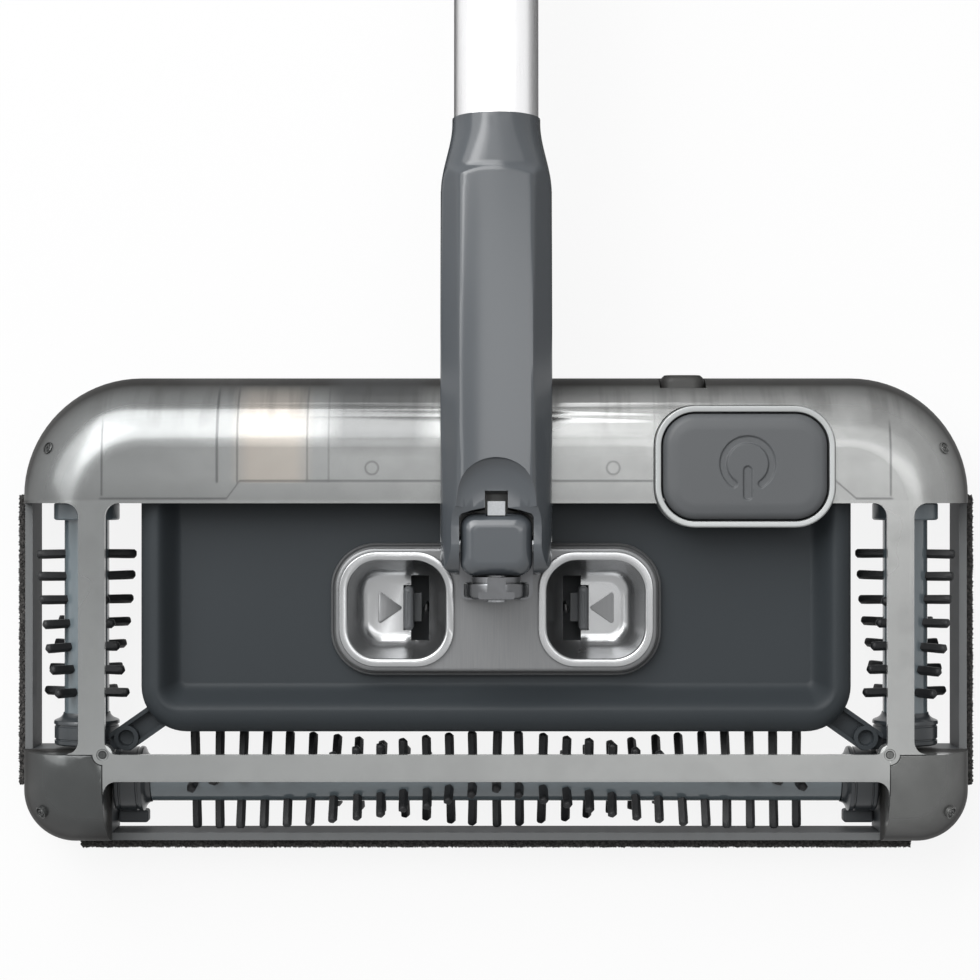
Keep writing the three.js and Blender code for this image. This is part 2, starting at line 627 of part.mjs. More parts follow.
// straight bevel gear along +Z, its back at z = 0 and its toe at z = face
function bevelGear(phase) {
  const { teeth, pitchRadius, face, tip, root, width, bore } = bevel;
  const outline = (scale) => {
    const points = [];
    for (let k = 0; k < teeth; k += 1) {
      const middle = ((k + phase) / teeth) * 2 * Math.PI;
      const rootHalf = (width * 0.75) / pitchRadius;
      const tipHalf = (width * 0.35) / pitchRadius;
      for (const [r, a] of [
        [pitchRadius - root, -rootHalf], [pitchRadius + tip, -tipHalf],
        [pitchRadius + tip, tipHalf], [pitchRadius - root, rootHalf]]) {
        points.push([scale * r * Math.cos(middle + a), scale * r * Math.sin(middle + a)]);
      }
    }
    return points;
  };
  const body = loft([{ outline: outline(1), z: 0 }, { outline: outline(1 - face / pitchRadius), z: face }]);
  return cut(body, rod([0, 0, -1], [0, 0, face + 1], bore, facets.small));
}

// the gear turned so that it faces its apex along +X, -X, +Y or -Y
function gearToward(direction, apex, phase) {
  const [dx, dy] = direction;
  const gear = bevelGear(phase);
  const heel = [apex[0] - dx * gearBack, apex[1] - dy * gearBack, apex[2]];
  return gear.transform([dy, -dx, 0, 0, 0, 0, 1, 0, dx, dy, 0, 0, ...heel, 1]);
}

// ---- closed rear part -----------------------------------------------------------------------------------
const insideForm = () => cut(pillow(shell.wall + gap, 0), trough(shell.wall + gap));

function compartment(drawnIn) {
  const { sideX, front, setback, left, right, slant } = base;
  const behind = head.rear + 10;
  return [
    [-sideX + drawnIn, front + drawnIn], [left - slant, front + drawnIn], [left, setback + drawnIn],
    [right, setback + drawnIn], [right + slant, front + drawnIn], [sideX - drawnIn, front + drawnIn],
    [sideX - drawnIn, behind], [-sideX + drawnIn, behind]];
}

function wheelPocket(grow, low, high) {
  const { x, y, radius, width } = rearWheel;
  const across = width / 2 + 0.6 + grow;
  const along = radius + 0.5 + grow;
  return box(x - across, x + across, y - along, y + along, low, high);
}

function rearBase() {
  const { low, floor, front, sideX, wall } = base;
  const top = head.top;
  const floorPlate = box(-far, far, front, far, low, low + floor);
  const walls = cut(slab(compartment(0), low, top), slab(compartment(wall), low - 1, top + 1));
  const end = box(sideX - 1, far, front, front + bearingWall, low, top);
  const roof = 2 * rearWheel.radius + 1.4;
  const pocket = wheelPocket(1.4, low, roof + 1.4);
  const rib = (x) => cut(
    box(x, x + 2, base.setback + 1, motor.y + motor.radius, low + 1, brush.axisZ - 6),
    rod([x - 1, motor.y, brush.axisZ], [x + 3, motor.y, brush.axisZ], motor.radius + gap, facets.large));
  const post = (x, y) => rod([x, y, low + 1], [x, y, board.low - gap], 2.2, facets.small);
  let body = join(
    floorPlate, walls, end, mirrorX(end), pocket, mirrorX(pocket),
    rib(motor.left + 4), rib(motor.left + motor.length - 6),
    post(board.x0 + 3, board.y0 + 3), post(board.x1 - 3, board.y0 + 3), post(board.x0 + 3, board.y1 - 3),
    post(board.x1 - 3, board.y1 - 3));
  body = body.intersect(insideForm());
  const space = wheelPocket(0, 0, roof);
  const axleHole = rod(
    [rearWheel.x - 8, rearWheel.y, rearWheel.radius], [rearWheel.x + 8, rearWheel.y, rearWheel.radius],
    axle.radius + running, facets.small);
  const bearing = rod(
    [sideBrush.x, front - 1, brush.axisZ], [sideBrush.x, front + 4, brush.axisZ], brush.stub + running);
  const shaftHole = rod(
    [-sideX - 1, motor.y, brush.axisZ], [-sideX + wall + 1, motor.y, brush.axisZ], motor.shaft + 0.4);
  return cut(
    body, space, mirrorX(space), axleHole, mirrorX(axleHole), bearing, mirrorX(bearing), shaftHole,
    slab(bezelOutline(bezel.width + gap), bezel.low - gap, top + 5));
}

function cornerBase() {
  const { low, floor } = base;
  const x0 = cornerX + gap;
  const y1 = band.front - gap;
  const walls = join(
    box(x0, far, -far, y1, low, low + floor),
    box(x0, far, y1 - bearingWall, y1, low, head.top),
    box(x0, x0 + bearingWall, -far, y1, low, head.top));
  const body = walls.intersect(insideForm());
  const sideHole = rod(
    [sideBrush.x, y1 - 4, brush.axisZ], [sideBrush.x, y1 + 1, brush.axisZ], brush.stub + running);
  const frontHole = rod(
    [x0 - 1, frontBrush.y, brush.axisZ], [x0 + 4, frontBrush.y, brush.axisZ], brush.stub + running);
  const bossRoom = rod(
    [cornerX, band.front, head.top - 5 - gap], [cornerX, band.front, head.top], boss.radius + gap);
  return cut(body, sideHole, frontHole, bossRoom);
}

function motorSolid() {
  const { y, left, length, radius } = motor;
  const right = left + length;
  const at = (x) => [x, y, brush.axisZ];
  const body = join(
    rod(at(left + 6), at(right), radius, facets.large),
    rod(at(left), at(left + 6), radius - 1.6, facets.large),
    rod(at(right), at(right + 2.5), 4));
  return cut(body, rod(at(left - 1), at(left + 8), motor.shaft + running));
}

function motorShaft() {
  const at = (x) => [x, motor.y, brush.axisZ];
  const heel = -sideBrush.x + gearBack;
  const gear = gearToward([-1, 0], [-sideBrush.x, motor.y, brush.axisZ], 0.5);
  const plug = rod(at(heel - bevel.face + 0.4), at(heel), bevel.bore + 0.3, facets.small);
  return join(gear, plug, rod(at(motor.left + 7.6), at(heel - 1), motor.shaft));
}

function batteryPack() {
  const { x0, x1, y0, y1, low, cell } = battery;
  const block = box(x0, x1, y0, y1, low, low + cell);
  const cells = [y0 + cell, y1 - cell].map((y) => rod([x0, y, low + cell], [x1, y, low + cell], cell));
  const trimmed = cells.map((solid) => solid.intersect(box(x0, x1, y0, y1, low, far)));
  return join(block, ...trimmed, box(x0 + 6, x1 - 6, y0 + 4, y1 - 4, low + 4, low + 2 * cell - 2));
}

function circuitBoard() {
  const { x0, x1, y0, y1, low, thick } = board;
  const top = low + thick;
  return join(
    box(x0, x1, y0, y1, low, top),
    box(x0 + 3, x0 + 11, y0 + 3, y0 + 9, top - 0.5, top + 5),
    rod([x1 - 8, y1 - 5, top - 0.5], [x1 - 8, y1 - 5, top + 8], 3, facets.small),
    box(x1 - 16, x1 - 11, y0 + 2, y0 + 6, top - 0.5, top + 2));
}

function powerSwitch() {
  const { x, y } = pedalPost;
  const { x0, x1, length, high, plunger, plungerHalf } = switchBody;
  const low = board.low + board.thick + gap;
  return join(
    box(x0, x1, y - length / 2, y + length / 2, low, high),
    box(x - plungerHalf, x + plungerHalf, y - plungerHalf, y + plungerHalf, low, plunger));
}

function chargingSocket() {
  const { x, width, length, low, high, proud } = socket;
  const outline = roundedRect(-width / 2, width / 2, -(high - low) / 2, (high - low) / 2, 2.5);
  const middle = (low + high) / 2;
  const block = slab(outline, 0, length).rotate([90, 0, 0]).translate([x, head.rear + proud, middle]);
  const hole = rod([x, head.rear - 8, middle], [x, head.rear + 5, middle], 3.1);
  const pin = rod([x, head.rear - 8.5, middle], [x, head.rear - 1, middle], 0.9, facets.small);
  return join(cut(block, hole), pin);
}

// ---- power pedal ----------------------------------------------------------------------------------------
function pedalOutline(drawnIn) {
  const corner = Math.max(pedal.corner - drawnIn, 2);
  return roundedRect(pedal.x0 + drawnIn, pedal.x1 - drawnIn, pedal.y0 + drawnIn, pedal.y1 - drawnIn, corner);
}

const pedalCeiling = pedal.top - pedal.bevel - 0.4; // the underside of its top

function powerPedal() {
  const { top, low, bevel: edge, wall } = pedal;
  const cover = loft([
    { outline: pedalOutline(0), z: low },
    { outline: pedalOutline(0), z: top - edge },
    { outline: pedalOutline(edge * 0.35), z: top - edge * 0.35 },
    { outline: pedalOutline(edge), z: top },
  ]);
  const hollow = slab(pedalOutline(wall), low - 1, pedalCeiling);
  const { x, y, radius } = pedalPost;
  return join(cut(cover, hollow), rod([x, y, pedalPost.low], [x, y, top - 1], radius));
}

const pedalBezel = () => cut(
  slab(bezelOutline(bezel.width), bezel.low, bezel.top), slab(bezelOutline(0), bezel.low - 1, bezel.top + 1));

// ---- wheels and strips ----------------------------------------------------------------------------------
function wheelSolid({ x, y, radius, width, bore = axle.radius + running }) {
  const half = width / 2;
  const edge = 1; // chamfer
  const profile = [
    [bore, -half], [radius - edge, -half], [radius, edge - half],
    [radius, half - edge], [radius - edge, half], [bore, half], [bore, -half]];
  return moved(revolve(profile, 'x', facets.round), x, y, radius);
}

function axleSolid({ x, y, radius, width }) {
  const half = width / 2 + axle.over;
  return rod([x - half, y, radius], [x + half, y, radius], axle.radius, facets.small);
}

const { low: stripLow, high: stripHigh } = strip;
const stripInner = head.halfWidth + gap;
const stripRear = head.front - gap;
const sideStrip = () => box(
  stripInner, stripInner + strip.thick, strip.sideFront, strip.sideRear, stripLow, stripHigh);
const frontStrip = () => box(
  -strip.frontHalf, strip.frontHalf, stripRear - strip.thick, stripRear, stripLow, stripHigh);

// ---- universal joint ------------------------------------------------------------------------------------
function jointBase() {
  const { front, rear, radius, foot, footHalf, footFront, footRear } = lug;
  const body = join(
    slab(roundedRect(-footHalf, footHalf, footFront, footRear, 3), plate.top + gap, foot),
    box(-radius, radius, front, rear, foot - 1, pivot.z),
    rod([0, front, pivot.z], [0, rear, pivot.z], radius, facets.large));
  return cut(body, rod([0, front - 1, pivot.z], [0, rear + 1, pivot.z], rollPin.radius + running));
}

function swivelRing() {
  const { radius, front, rear, keyHalf } = ring;
  const band0 = cut(
    rod([0, front, pivot.z], [0, rear, pivot.z], radius, facets.large),
    rod([0, front - 1, pivot.z], [0, rear + 1, pivot.z], lug.radius + gap, facets.large),
    box(-lug.radius - gap, lug.radius + gap, front - 1, rear + 1, pivot.z - far, pivot.z));
  const top = pivot.z + radius;
  return join(
    band0,
    box(-keyHalf, keyHalf, front + 1, lug.rear, top - 0.8, top + 0.9),
    box(-2 * keyHalf, 2 * keyHalf, front, front + 2.4, top - 2.4, top + 0.9));
}

function knuckleSolid() {
  const { halfWidth, halfLength, halfHeight, round } = knuckle;
  const level = (angle, side) => {
    const drawnIn = round * (1 - Math.cos(angle * deg));
    const z = side * (halfHeight - round + round * Math.sin(angle * deg));
    const corner = Math.max(round - drawnIn * 0.5, 1.5);
    const [w, l] = [halfWidth - drawnIn, halfLength - drawnIn];
    return { outline: roundedRect(-w, w, -l, l, corner), z };
  };
  const angles = [90, 60, 30, 0];
  const levels = [...angles.map((a) => level(a, -1)), ...angles.reverse().map((a) => level(a, 1))];
  const { halfWidth: tongueHalf, low, high } = tongue;
  return moved(cut(
    loft(levels),
    rod([0, -halfLength - 1, 0], [0, rollPin.rear - pivot.y + gap, 0], rollPin.radius + running),
    rod([-20, 0, 0], [20, 0, 0], pitchPin.radius + running),
    box(-tongueHalf - gap, tongueHalf + gap, halfLength - 4, 20, low - gap, high + gap),
  ), 0, pivot.y, pivot.z);
}

const tongueSolid = () => moved(box(
  -tongue.halfWidth, tongue.halfWidth, knuckle.halfLength - 3.7, tongue.reach, tongue.low, tongue.high),
0, pivot.y, pivot.z);

// ---- handle, along +Y from the pivot, before it is tilted down to the floor -----------------------------
function neckSection(blend) {
  const { radius, flatTop, flatHalf, chamferZ } = neck;
  const normal = new THREE.Vector2(flatTop - chamferZ, radius - flatHalf).normalize();
  const reach = normal.dot(new THREE.Vector2(radius, chamferZ));
  const lowArc = arcPoints(0, 0, 1, 180, 360, 12);
  const a1 = Math.atan2(chamferZ, radius) / deg;
  const a2 = Math.atan2(flatTop, flatHalf) / deg;
  const upper = [a1, (a1 + a2) / 2, a2, 72, 90, 108, 180 - a2, 180 - (a1 + a2) / 2, 180 - a1];
  const unit = [...lowArc, ...upper.map((a) => [Math.cos(a * deg), Math.sin(a * deg)])];
  return unit.map(([c, s]) => {
    const side = radius / Math.max(Math.abs(c), 1e-6);
    const r = s <= 0 ? radius : Math.min(side, flatTop / s, reach / (normal.x * Math.abs(c) + normal.y * s));
    const mixed = r + (neckRun.collarRadius - r) * blend;
    return [mixed * c, mixed * s];
  });
}

// outlines drawn looking along the handle, as x and height
function alongHandle(levels) {
  const upright = loft(levels.map(({ outline, y }) => ({ outline, z: -y })).reverse());
  return upright.rotate([90, 0, 0]);
}

function neckSolid() {
  const { radius, fork, web, prong } = neck;
  const { straightEnd, collarStart, end } = neckRun;
  const levels = [{ outline: neckSection(0), y: -prong - 1 }, { outline: neckSection(0), y: straightEnd }];
  const steps = 5;
  for (let k = 1; k <= steps; k += 1) {
    const t = k / steps;
    const y = straightEnd + (collarStart - straightEnd) * t;
    levels.push({ outline: neckSection(t * t * (3 - 2 * t)), y });
  }
  levels.push({ outline: neckSection(1), y: end });
  const body = alongHandle(levels);
  // seen from the side: round prongs at the pivot that swell into the full neck behind it
  const side = [
    ...arcPoints(0, 0, prong, 90, 270, 8), [7, -prong], [12, -radius * 0.72], [18, -radius - 1],
    [end + 1, -radius - 1], [end + 1, radius + 1], [17, radius + 1], [12, radius * 0.62], [7, prong]];
  const sideForm = slab(side, -30, 30).transform([0, 1, 0, 0, 0, 0, 1, 0, 1, 0, 0, 0, 0, 0, 0, 1]);
  const planForm = slab(roundedRect(-radius, radius, -prong, end + 1, 5.5, 1), -30, 30);
  const forkRoom = box(-fork, fork, -30, web, -30, 30);
  const slot = box(-neckSlot.halfWidth, neckSlot.halfWidth, -30, neckSlot.end, -30, 30);
  const arch = neckRun.scallop;
  const scallopOutline = [...arcPoints(0, scallop.end - arch, arch, 0, 180, 8), [-arch, -30], [arch, -30]];
  const dip = slab(scallopOutline, neck.flatTop - scallop.depth, radius + 20);
  const bore = rod([0, web + 14, 0], [0, tube.start, 0], tube.radius - 1.2, facets.large);
  const seat = rod([0, tube.start - gap, 0], [0, end + 1, 0], tube.radius + running, facets.large);
  const pinHole = rod([-30, 0, 0], [30, 0, 0], pitchPin.radius + running);
  return cut(body.intersect(sideForm).intersect(planForm), forkRoom, slot, dip, bore, seat, pinHole);
}

function tubeSolid(from, to, spigot) {
  const { radius, wall } = tube;
  const inner = radius - wall;
  const plugOuter = inner - running;
  const plugInner = plugOuter - wall;
  const profile = spigot
    ? [[plugInner, from - tube.spigot], [plugOuter, from - tube.spigot], [plugOuter, from], [radius, from],
      [radius, to], [inner, to], [inner, from + 3], [plugInner, from], [plugInner, from - tube.spigot]]
    : [[inner, from], [radius, from], [radius, to], [inner, to], [inner, from]];
  return revolve(profile, 'y', facets.large);
}

function gripSolid() {
  const { start, end, radius, waist } = grip;
  const bore = tube.radius + running;
  const middle = (start + end) / 2;
  const quarter = (end - start) / 4;
  const profile = [
    [bore, start], [waist - 0.6, start], [waist, start + 4], [waist, middle - quarter], [radius, middle],
    [radius, end - 2], [radius - 1.2, end], [bore, end], [bore, start]];
  return revolve(profile, 'y', facets.large);
}

// end cap with a hole to hang the sweeper by, and a plug that fits the tube
function endCap() {
  const start = grip.end + gap;
  const plug = tube.radius - tube.wall - running;
  const profile = [
    [0, tube.end - cap.plug], [plug, tube.end - cap.plug], [plug, start], [grip.waist, start],
    [grip.waist, start + 4], [cap.endRadius + 2, start + cap.length - 4], [cap.endRadius, start + cap.length],
    [0, start + cap.length]];
  const hole = rod([0, start + cap.length - 11, -30], [0, start + cap.length - 11, 30], cap.hole);
  return cut(revolve(profile, 'y', facets.large), hole);
}

// ---- assembly -------------------------------------------------------------------------------------------
const sweeper = new THREE.Group();

function add(name, solid, material, parent = sweeper) {
  const mesh = new THREE.Mesh(toGeometry(solid), material);
  mesh.name = name;
  parent.add(mesh);
}

function addPair(name, solid, material) {
  add(`${name}_right`, solid, material);
  add(`${name}_left`, mirrorX(solid), material);
}

add('top_shell', topShell(), smoke());
addPair('corner_cover', cornerCover(), smoke());
const supports = latchSupports();
add('centre_panel', join(centrePanel(), supports, mirrorX(supports)), charcoal());
add('well_plate', wellPlate(), brushedGrey());
addPair('finger_well', fingerWell(), silver());
addPair('release_latch', releaseLatch(), charcoal());
const coilStart = latchHold.stopX + latchHold.stopThick + gap;
const latchSpring = spring(latchCoil, latchBar.inner - gap - coilStart).rotate([0, 90, 0]);
addPair('latch_spring', moved(latchSpring, coilStart, well.y, (latchBar.low + latchBar.high) / 2), steel());
add('dust_tray', dustTray(), charcoal());

add('rear_base', rearBase(), brushedGrey());
addPair('corner_base', cornerBase(), charcoal());
add('motor', motorSolid(), steel());
add('motor_shaft', motorShaft(), steel());
add('battery_pack', batteryPack(), finish(0x8f8376, 0.6));
add('circuit_board', circuitBoard(), finish(0x2f5a3c, 0.6));
add('power_switch', powerSwitch(), charcoal());
add('charging_socket', chargingSocket(), charcoal());

add('pedal_bezel', pedalBezel(), silver());
add('power_pedal', powerPedal(), slate());
// the coil stands on the switch, round its plunger and the pedal's post
const pedalSpring = spring(pedalCoil, pedalCeiling - switchBody.high - 2 * gap);
add('pedal_spring', moved(pedalSpring, pedalPost.x, pedalPost.y, switchBody.high + gap), steel());

const leftBrush = sideBrushSolid();
add('left_brush', leftBrush, bristle());
// the right brush ends at its bearing wall, because only the left one is driven at the rear
const rightBrush = cut(mirrorX(leftBrush), box(0, far, base.front + bearingWall + 0.6, far, 0, head.top));
add('right_brush', rightBrush, bristle());
add('front_brush', frontBrushSolid(), bristle());

const { rearCollar: collarRear } = sideBrush;
const rearCollar = moved(
  collarSolid(collarRear - collar.rearLength, collarRear, 0, 'y'), sideBrush.x, 0, brush.axisZ);
const frontCollar = moved(
  collarSolid(sideBrush.frontCollar - collar.frontLength, sideBrush.frontCollar, 0, 'y'),
  sideBrush.x, 0, brush.axisZ);
const endCollar = moved(
  collarSolid(frontBrush.collar, frontBrush.collar + collar.endLength, 0, 'x'), 0, frontBrush.y, brush.axisZ);
addPair('rear_collar', rearCollar, charcoal());
addPair('mid_collar', frontCollar, charcoal());
addPair('front_collar', endCollar, charcoal());

const cornerApex = [sideBrush.x, frontBrush.y, brush.axisZ];
const mirroredApex = [-sideBrush.x, frontBrush.y, brush.axisZ];
add('gear_left_rear', gearToward([0, 1], [-sideBrush.x, motor.y, brush.axisZ], 0), steel());
add('gear_left_front', gearToward([0, -1], mirroredApex, 0), steel());
add('gear_right_front', gearToward([0, -1], cornerApex, 0), steel());
add('gear_front_left', gearToward([-1, 0], mirroredApex, 0.5), steel());
add('gear_front_right', gearToward([1, 0], cornerApex, 0.5), steel());

addPair('rear_wheel', wheelSolid(rearWheel), rubber());
// the small front rollers are moulded with their own stub axles
const roller = wheelSolid({ ...frontWheel, bore: axle.radius - 0.3 });
addPair('front_wheel', join(roller, axleSolid(frontWheel)), rubber());
addPair('rear_axle', axleSolid(rearWheel), steel());
addPair('bumper_strip', sideStrip(), rubber());
add('bumper_strip_front', frontStrip(), rubber());

add('joint_base', jointBase(), charcoal());
add('swivel_ring', swivelRing(), silver());
add('roll_pin', rod([0, rollPin.front, pivot.z], [0, rollPin.rear, pivot.z], rollPin.radius), steel());
add('knuckle', knuckleSolid(), slate());
add('knuckle_tongue', tongueSolid(), silver());
const { halfLength: pinHalf, radius: pinRadius } = pitchPin;
add('pitch_pin', rod([-pinHalf, pivot.y, pivot.z], [pinHalf, pivot.y, pivot.z], pinRadius), steel());

const handle = new THREE.Group();
handle.position.set(0, pivot.y, pivot.z);
handle.rotation.x = -handleSlope;
sweeper.add(handle);
add('neck', neckSolid(), slate(), handle);
add('lower_tube', tubeSolid(tube.start, tube.first, false), silver(), handle);
add('middle_tube', tubeSolid(tube.first + gap, tube.second, true), silver(), handle);
add('upper_tube', tubeSolid(tube.second + gap, tube.end, true), silver(), handle);
add('grip', gripSolid(), rubber(), handle);
add('end_cap', endCap(), charcoal(), handle);

sweeper.updateMatrixWorld(true);
export default sweeper;
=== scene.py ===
# %% [markdown]
# # A cordless floor sweeper
# A flat see-through head sweeps with three turning brushes, and a long handle lies back from it on a
# two-way joint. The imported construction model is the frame: it gives every place and size, and says what
# moves with what. This lesson dresses it. Smooth mouldings take the place of the faceted ones, bristles
# are set in rows along their helices, and each surface gets a finish of its own.

# %% Start from the frame
import math

import bmesh
import bpy
from mathutils import Matrix, Vector


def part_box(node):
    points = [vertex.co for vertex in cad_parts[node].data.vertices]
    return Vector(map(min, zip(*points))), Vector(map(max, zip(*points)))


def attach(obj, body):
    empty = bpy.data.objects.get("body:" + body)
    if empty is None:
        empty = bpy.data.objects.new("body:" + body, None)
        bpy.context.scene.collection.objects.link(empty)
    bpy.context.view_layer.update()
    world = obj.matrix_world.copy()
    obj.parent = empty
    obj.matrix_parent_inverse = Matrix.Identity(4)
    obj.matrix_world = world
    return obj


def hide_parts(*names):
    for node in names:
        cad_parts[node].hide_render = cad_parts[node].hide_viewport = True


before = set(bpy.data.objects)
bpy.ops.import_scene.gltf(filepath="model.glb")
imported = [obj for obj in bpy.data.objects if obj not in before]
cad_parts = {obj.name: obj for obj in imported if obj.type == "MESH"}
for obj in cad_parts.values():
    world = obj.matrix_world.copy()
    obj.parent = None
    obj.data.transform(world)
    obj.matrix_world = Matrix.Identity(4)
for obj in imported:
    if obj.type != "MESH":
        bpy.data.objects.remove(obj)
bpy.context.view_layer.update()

scene = bpy.context.scene
MM = 0.001

# %% [markdown]
# ## Reading places from the frame
# Nothing here is placed by eye. A node's box says where its middle is and how far it reaches. A small
# class with short names for the six sides keeps the later lines readable, and it counts in millimetres,
# as the drawing of a product does. Only the function that makes a mesh turns them into Blender's metres.


# %% Boxes of the frame's nodes
class Span:
    """The box that holds a node of the frame, in millimetres."""

    def __init__(self, node):
        low, high = (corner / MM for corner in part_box(node))
        self.x0, self.y0, self.z0 = low
        self.x1, self.y1, self.z1 = high
        self.x, self.y, self.z = (low + high) / 2


head = Span("top_shell")
print("head:", round(head.x1 - head.x0, 1), "by", round(head.y1 - head.y0, 1), "mm")

# %% [markdown]
# ## Mesh tools
# Most mouldings here are lofts: outlines with the same number of points, one above the other, joined by
# quads. A few more helpers turn profiles, cut one solid with another and round the edges that a tool
# would leave sharp. Booleans are baked at once, so that what is left is a plain mesh.


# %% Outlines
CORNER_STEPS = 12


def arc(x, y, radius, start, end, steps):
    """Points along an arc; the angles are in degrees."""
    angles = [math.radians(start + (end - start) * k / steps) for k in range(steps + 1)]
    return [(x + radius * math.cos(a), y + radius * math.sin(a)) for a in angles]


def rounded_rect(x0, x1, y0, y1, front_radius, rear_radius=None, steps=CORNER_STEPS):
    """A rounded rectangle, counter-clockwise, with its own corner radius at the front and at the rear."""
    f = front_radius
    r = front_radius if rear_radius is None else rear_radius
    return [
        *arc(x0 + f, y0 + f, f, 180, 270, steps),
        *arc(x1 - f, y0 + f, f, 270, 360, steps),
        *arc(x1 - r, y1 - r, r, 0, 90, steps),
        *arc(x0 + r, y1 - r, r, 90, 180, steps),
    ]


print("a rounded rectangle has", len(rounded_rect(0, 10, 0, 10, 1)), "points")


# %% Objects from points
SAME_PLACE = 1e-7
SLIVER = 2e-6


def placed(name, data):
    """A new object for a mesh, a lamp or a camera, at the origin."""
    obj = bpy.data.objects.new(name, data)
    scene.collection.objects.link(obj)
    return obj


def solid_object(name, points, faces):
    """A new object whose faces point outwards; doubled points are merged first."""
    mesh = bpy.data.meshes.new(name)
    mesh.from_pydata([Vector(p) * MM for p in points], [], faces)
    shape = bmesh.new()
    shape.from_mesh(mesh)
    bmesh.ops.remove_doubles(shape, verts=shape.verts, dist=SAME_PLACE)
    bmesh.ops.recalc_face_normals(shape, faces=shape.faces)
    shape.to_mesh(mesh)
    shape.free()
    return placed(name, mesh)


print("points closer than", SAME_PLACE, "m are merged, and slivers under", SLIVER, "m are dissolved")


# %% Solids from outlines and profiles
def skin(name, rings, ring_closed=False, open_side=False):
    """Quads between rings of equal length, with a cap on the first and the last ring.

    ring_closed joins the last ring to the first, so there are no caps. open_side leaves out the quads between
    the ends of the rings, for profiles that start and end on an axis.
    """
    count = len(rings[0])
    points = [p for ring in rings for p in ring]
    last = len(rings) if ring_closed else len(rings) - 1
    faces = []
    for level in range(last):
        for k in range(count - 1 if open_side else count):
            a = level * count + k
            b = level * count + (k + 1) % count
            c = (a + count) % len(points)
            d = (b + count) % len(points)
            faces.append((a, b, d, c))
    if not ring_closed:
        faces.append(tuple(reversed(range(count))))
        faces.append(tuple(range(len(points) - count, len(points))))
    return solid_object(name, points, faces)


def loft(name, levels, ring_closed=False):
    """levels: pairs of an outline and its height."""
    return skin(name, [[(x, y, z) for x, y in outline] for outline, z in levels], ring_closed)


def slab(name, outline, low, high):
    """A flat plate with the outline's shape."""
    return loft(name, [(outline, low), (outline, high)])


def block(name, x0, x1, y0, y1, z0, z1):
    """A box from its six sides."""
    return slab(name, [(x0, y0), (x1, y0), (x1, y1), (x0, y1)], z0, z1)


print("helpers: skin, loft, slab, block")

# %% Turned solids
TURNED_PLACES = {
    "x": lambda u, v, d: (d, u, v),
    "y": lambda u, v, d: (v, d, u),
    "z": lambda u, v, d: (u, v, d),
}


def turned(name, profile, axis, centre, sides=48):
    """Turns (radius, distance along the axis) pairs; the profile is closed or starts and ends on the axis."""
    place = TURNED_PLACES[axis]
    rings = []
    for k in range(sides):
        c, s = math.cos(2 * math.pi * k / sides), math.sin(2 * math.pi * k / sides)
        rings.append([Vector(place(r * c, r * s, d)) + Vector(centre) for r, d in profile])
    return skin(name, rings, ring_closed=True, open_side=profile[0][0] == 0)


def rod(name, radius, axis, start, end, centre, sides=48):
    """A round bar, also used to drill a hole."""
    return turned(name, [(0, start), (radius, start), (radius, end), (0, end)], axis, centre, sides)


print("helpers: turned, rod")


# %% Baking and cutting
def baked(obj):
    """Applies what is left on the object and gives it back as a plain mesh."""
    graph = bpy.context.evaluated_depsgraph_get()
    mesh = bpy.data.meshes.new_from_object(obj.evaluated_get(graph))
    obj.modifiers.clear()
    obj.data = mesh
    return obj


def combine(obj, tools, operation):
    """One boolean at a time, each followed by a clean-up of the slivers that it leaves."""
    for tool in tools:
        step = obj.modifiers.new("combine", "BOOLEAN")
        step.object = tool
        step.operation = operation
        step.solver = "EXACT"
        baked(obj)
        shape = bmesh.new()
        shape.from_mesh(obj.data)
        bmesh.ops.remove_doubles(shape, verts=shape.verts, dist=SLIVER)
        bmesh.ops.dissolve_degenerate(shape, edges=shape.edges, dist=SLIVER)
        shape.to_mesh(obj.data)
        shape.free()
        bpy.data.objects.remove(tool)
    return obj


def cut(obj, *tools):
    """Takes the tools away from the object."""
    return combine(obj, tools, "DIFFERENCE")


def join(obj, *tools):
    """Adds the tools to the object as one solid."""
    return combine(obj, tools, "UNION")


def common(obj, *tools):
    """Keeps what the object and all the tools share."""
    return combine(obj, tools, "INTERSECT")


print("helpers: baked, cut, join, common")

# %% Rounding and smoothing
BEVEL_TURN = 40
SOFT_TURN = 38
NORMAL_WEIGHT = 60


def rounded(obj, width, segments=2, angle=BEVEL_TURN):
    """Rounds the edges that turn by more than angle."""
    step = obj.modifiers.new("round", "BEVEL")
    step.width = width * MM
    step.segments = segments
    step.limit_method = "ANGLE"
    step.angle_limit = math.radians(angle)
    step.use_clamp_overlap = True
    step.loop_slide = False
    return baked(obj)


def smooth(obj, angle=SOFT_TURN):
    """Shades smoothly across soft turns; big faces keep their own normal."""
    mesh = obj.data
    shape = bmesh.new()
    shape.from_mesh(mesh)
    for face in shape.faces:
        face.smooth = True
    for edge in shape.edges:
        edge.smooth = not (edge.is_manifold and edge.calc_face_angle(0) > math.radians(angle))
    shape.to_mesh(mesh)
    shape.free()
    step = obj.modifiers.new("normals", "WEIGHTED_NORMAL")
    step.keep_sharp = True
    step.weight = NORMAL_WEIGHT
    return baked(obj)


print("edges that turn by more than", BEVEL_TURN, "degrees are rounded, softer turns are shaded smooth")


# %% Groups and mirror copies
def merged(name, objects):
    """One object from several, with no cut between them."""
    shape = bmesh.new()
    for obj in objects:
        shape.from_mesh(obj.data)
        bpy.data.objects.remove(obj)
    mesh = bpy.data.meshes.new(name)
    shape.to_mesh(mesh)
    shape.free()
    return placed(name, mesh)


def mirrored(name, obj):
    """A copy on the other side of the middle plane."""
    mesh = obj.data.copy()
    mesh.name = name
    mesh.transform(Matrix.Scale(-1, 4, (1, 0, 0)))
    shape = bmesh.new()
    shape.from_mesh(mesh)
    bmesh.ops.reverse_faces(shape, faces=shape.faces)
    shape.to_mesh(mesh)
    shape.free()
    return placed(name, mesh)


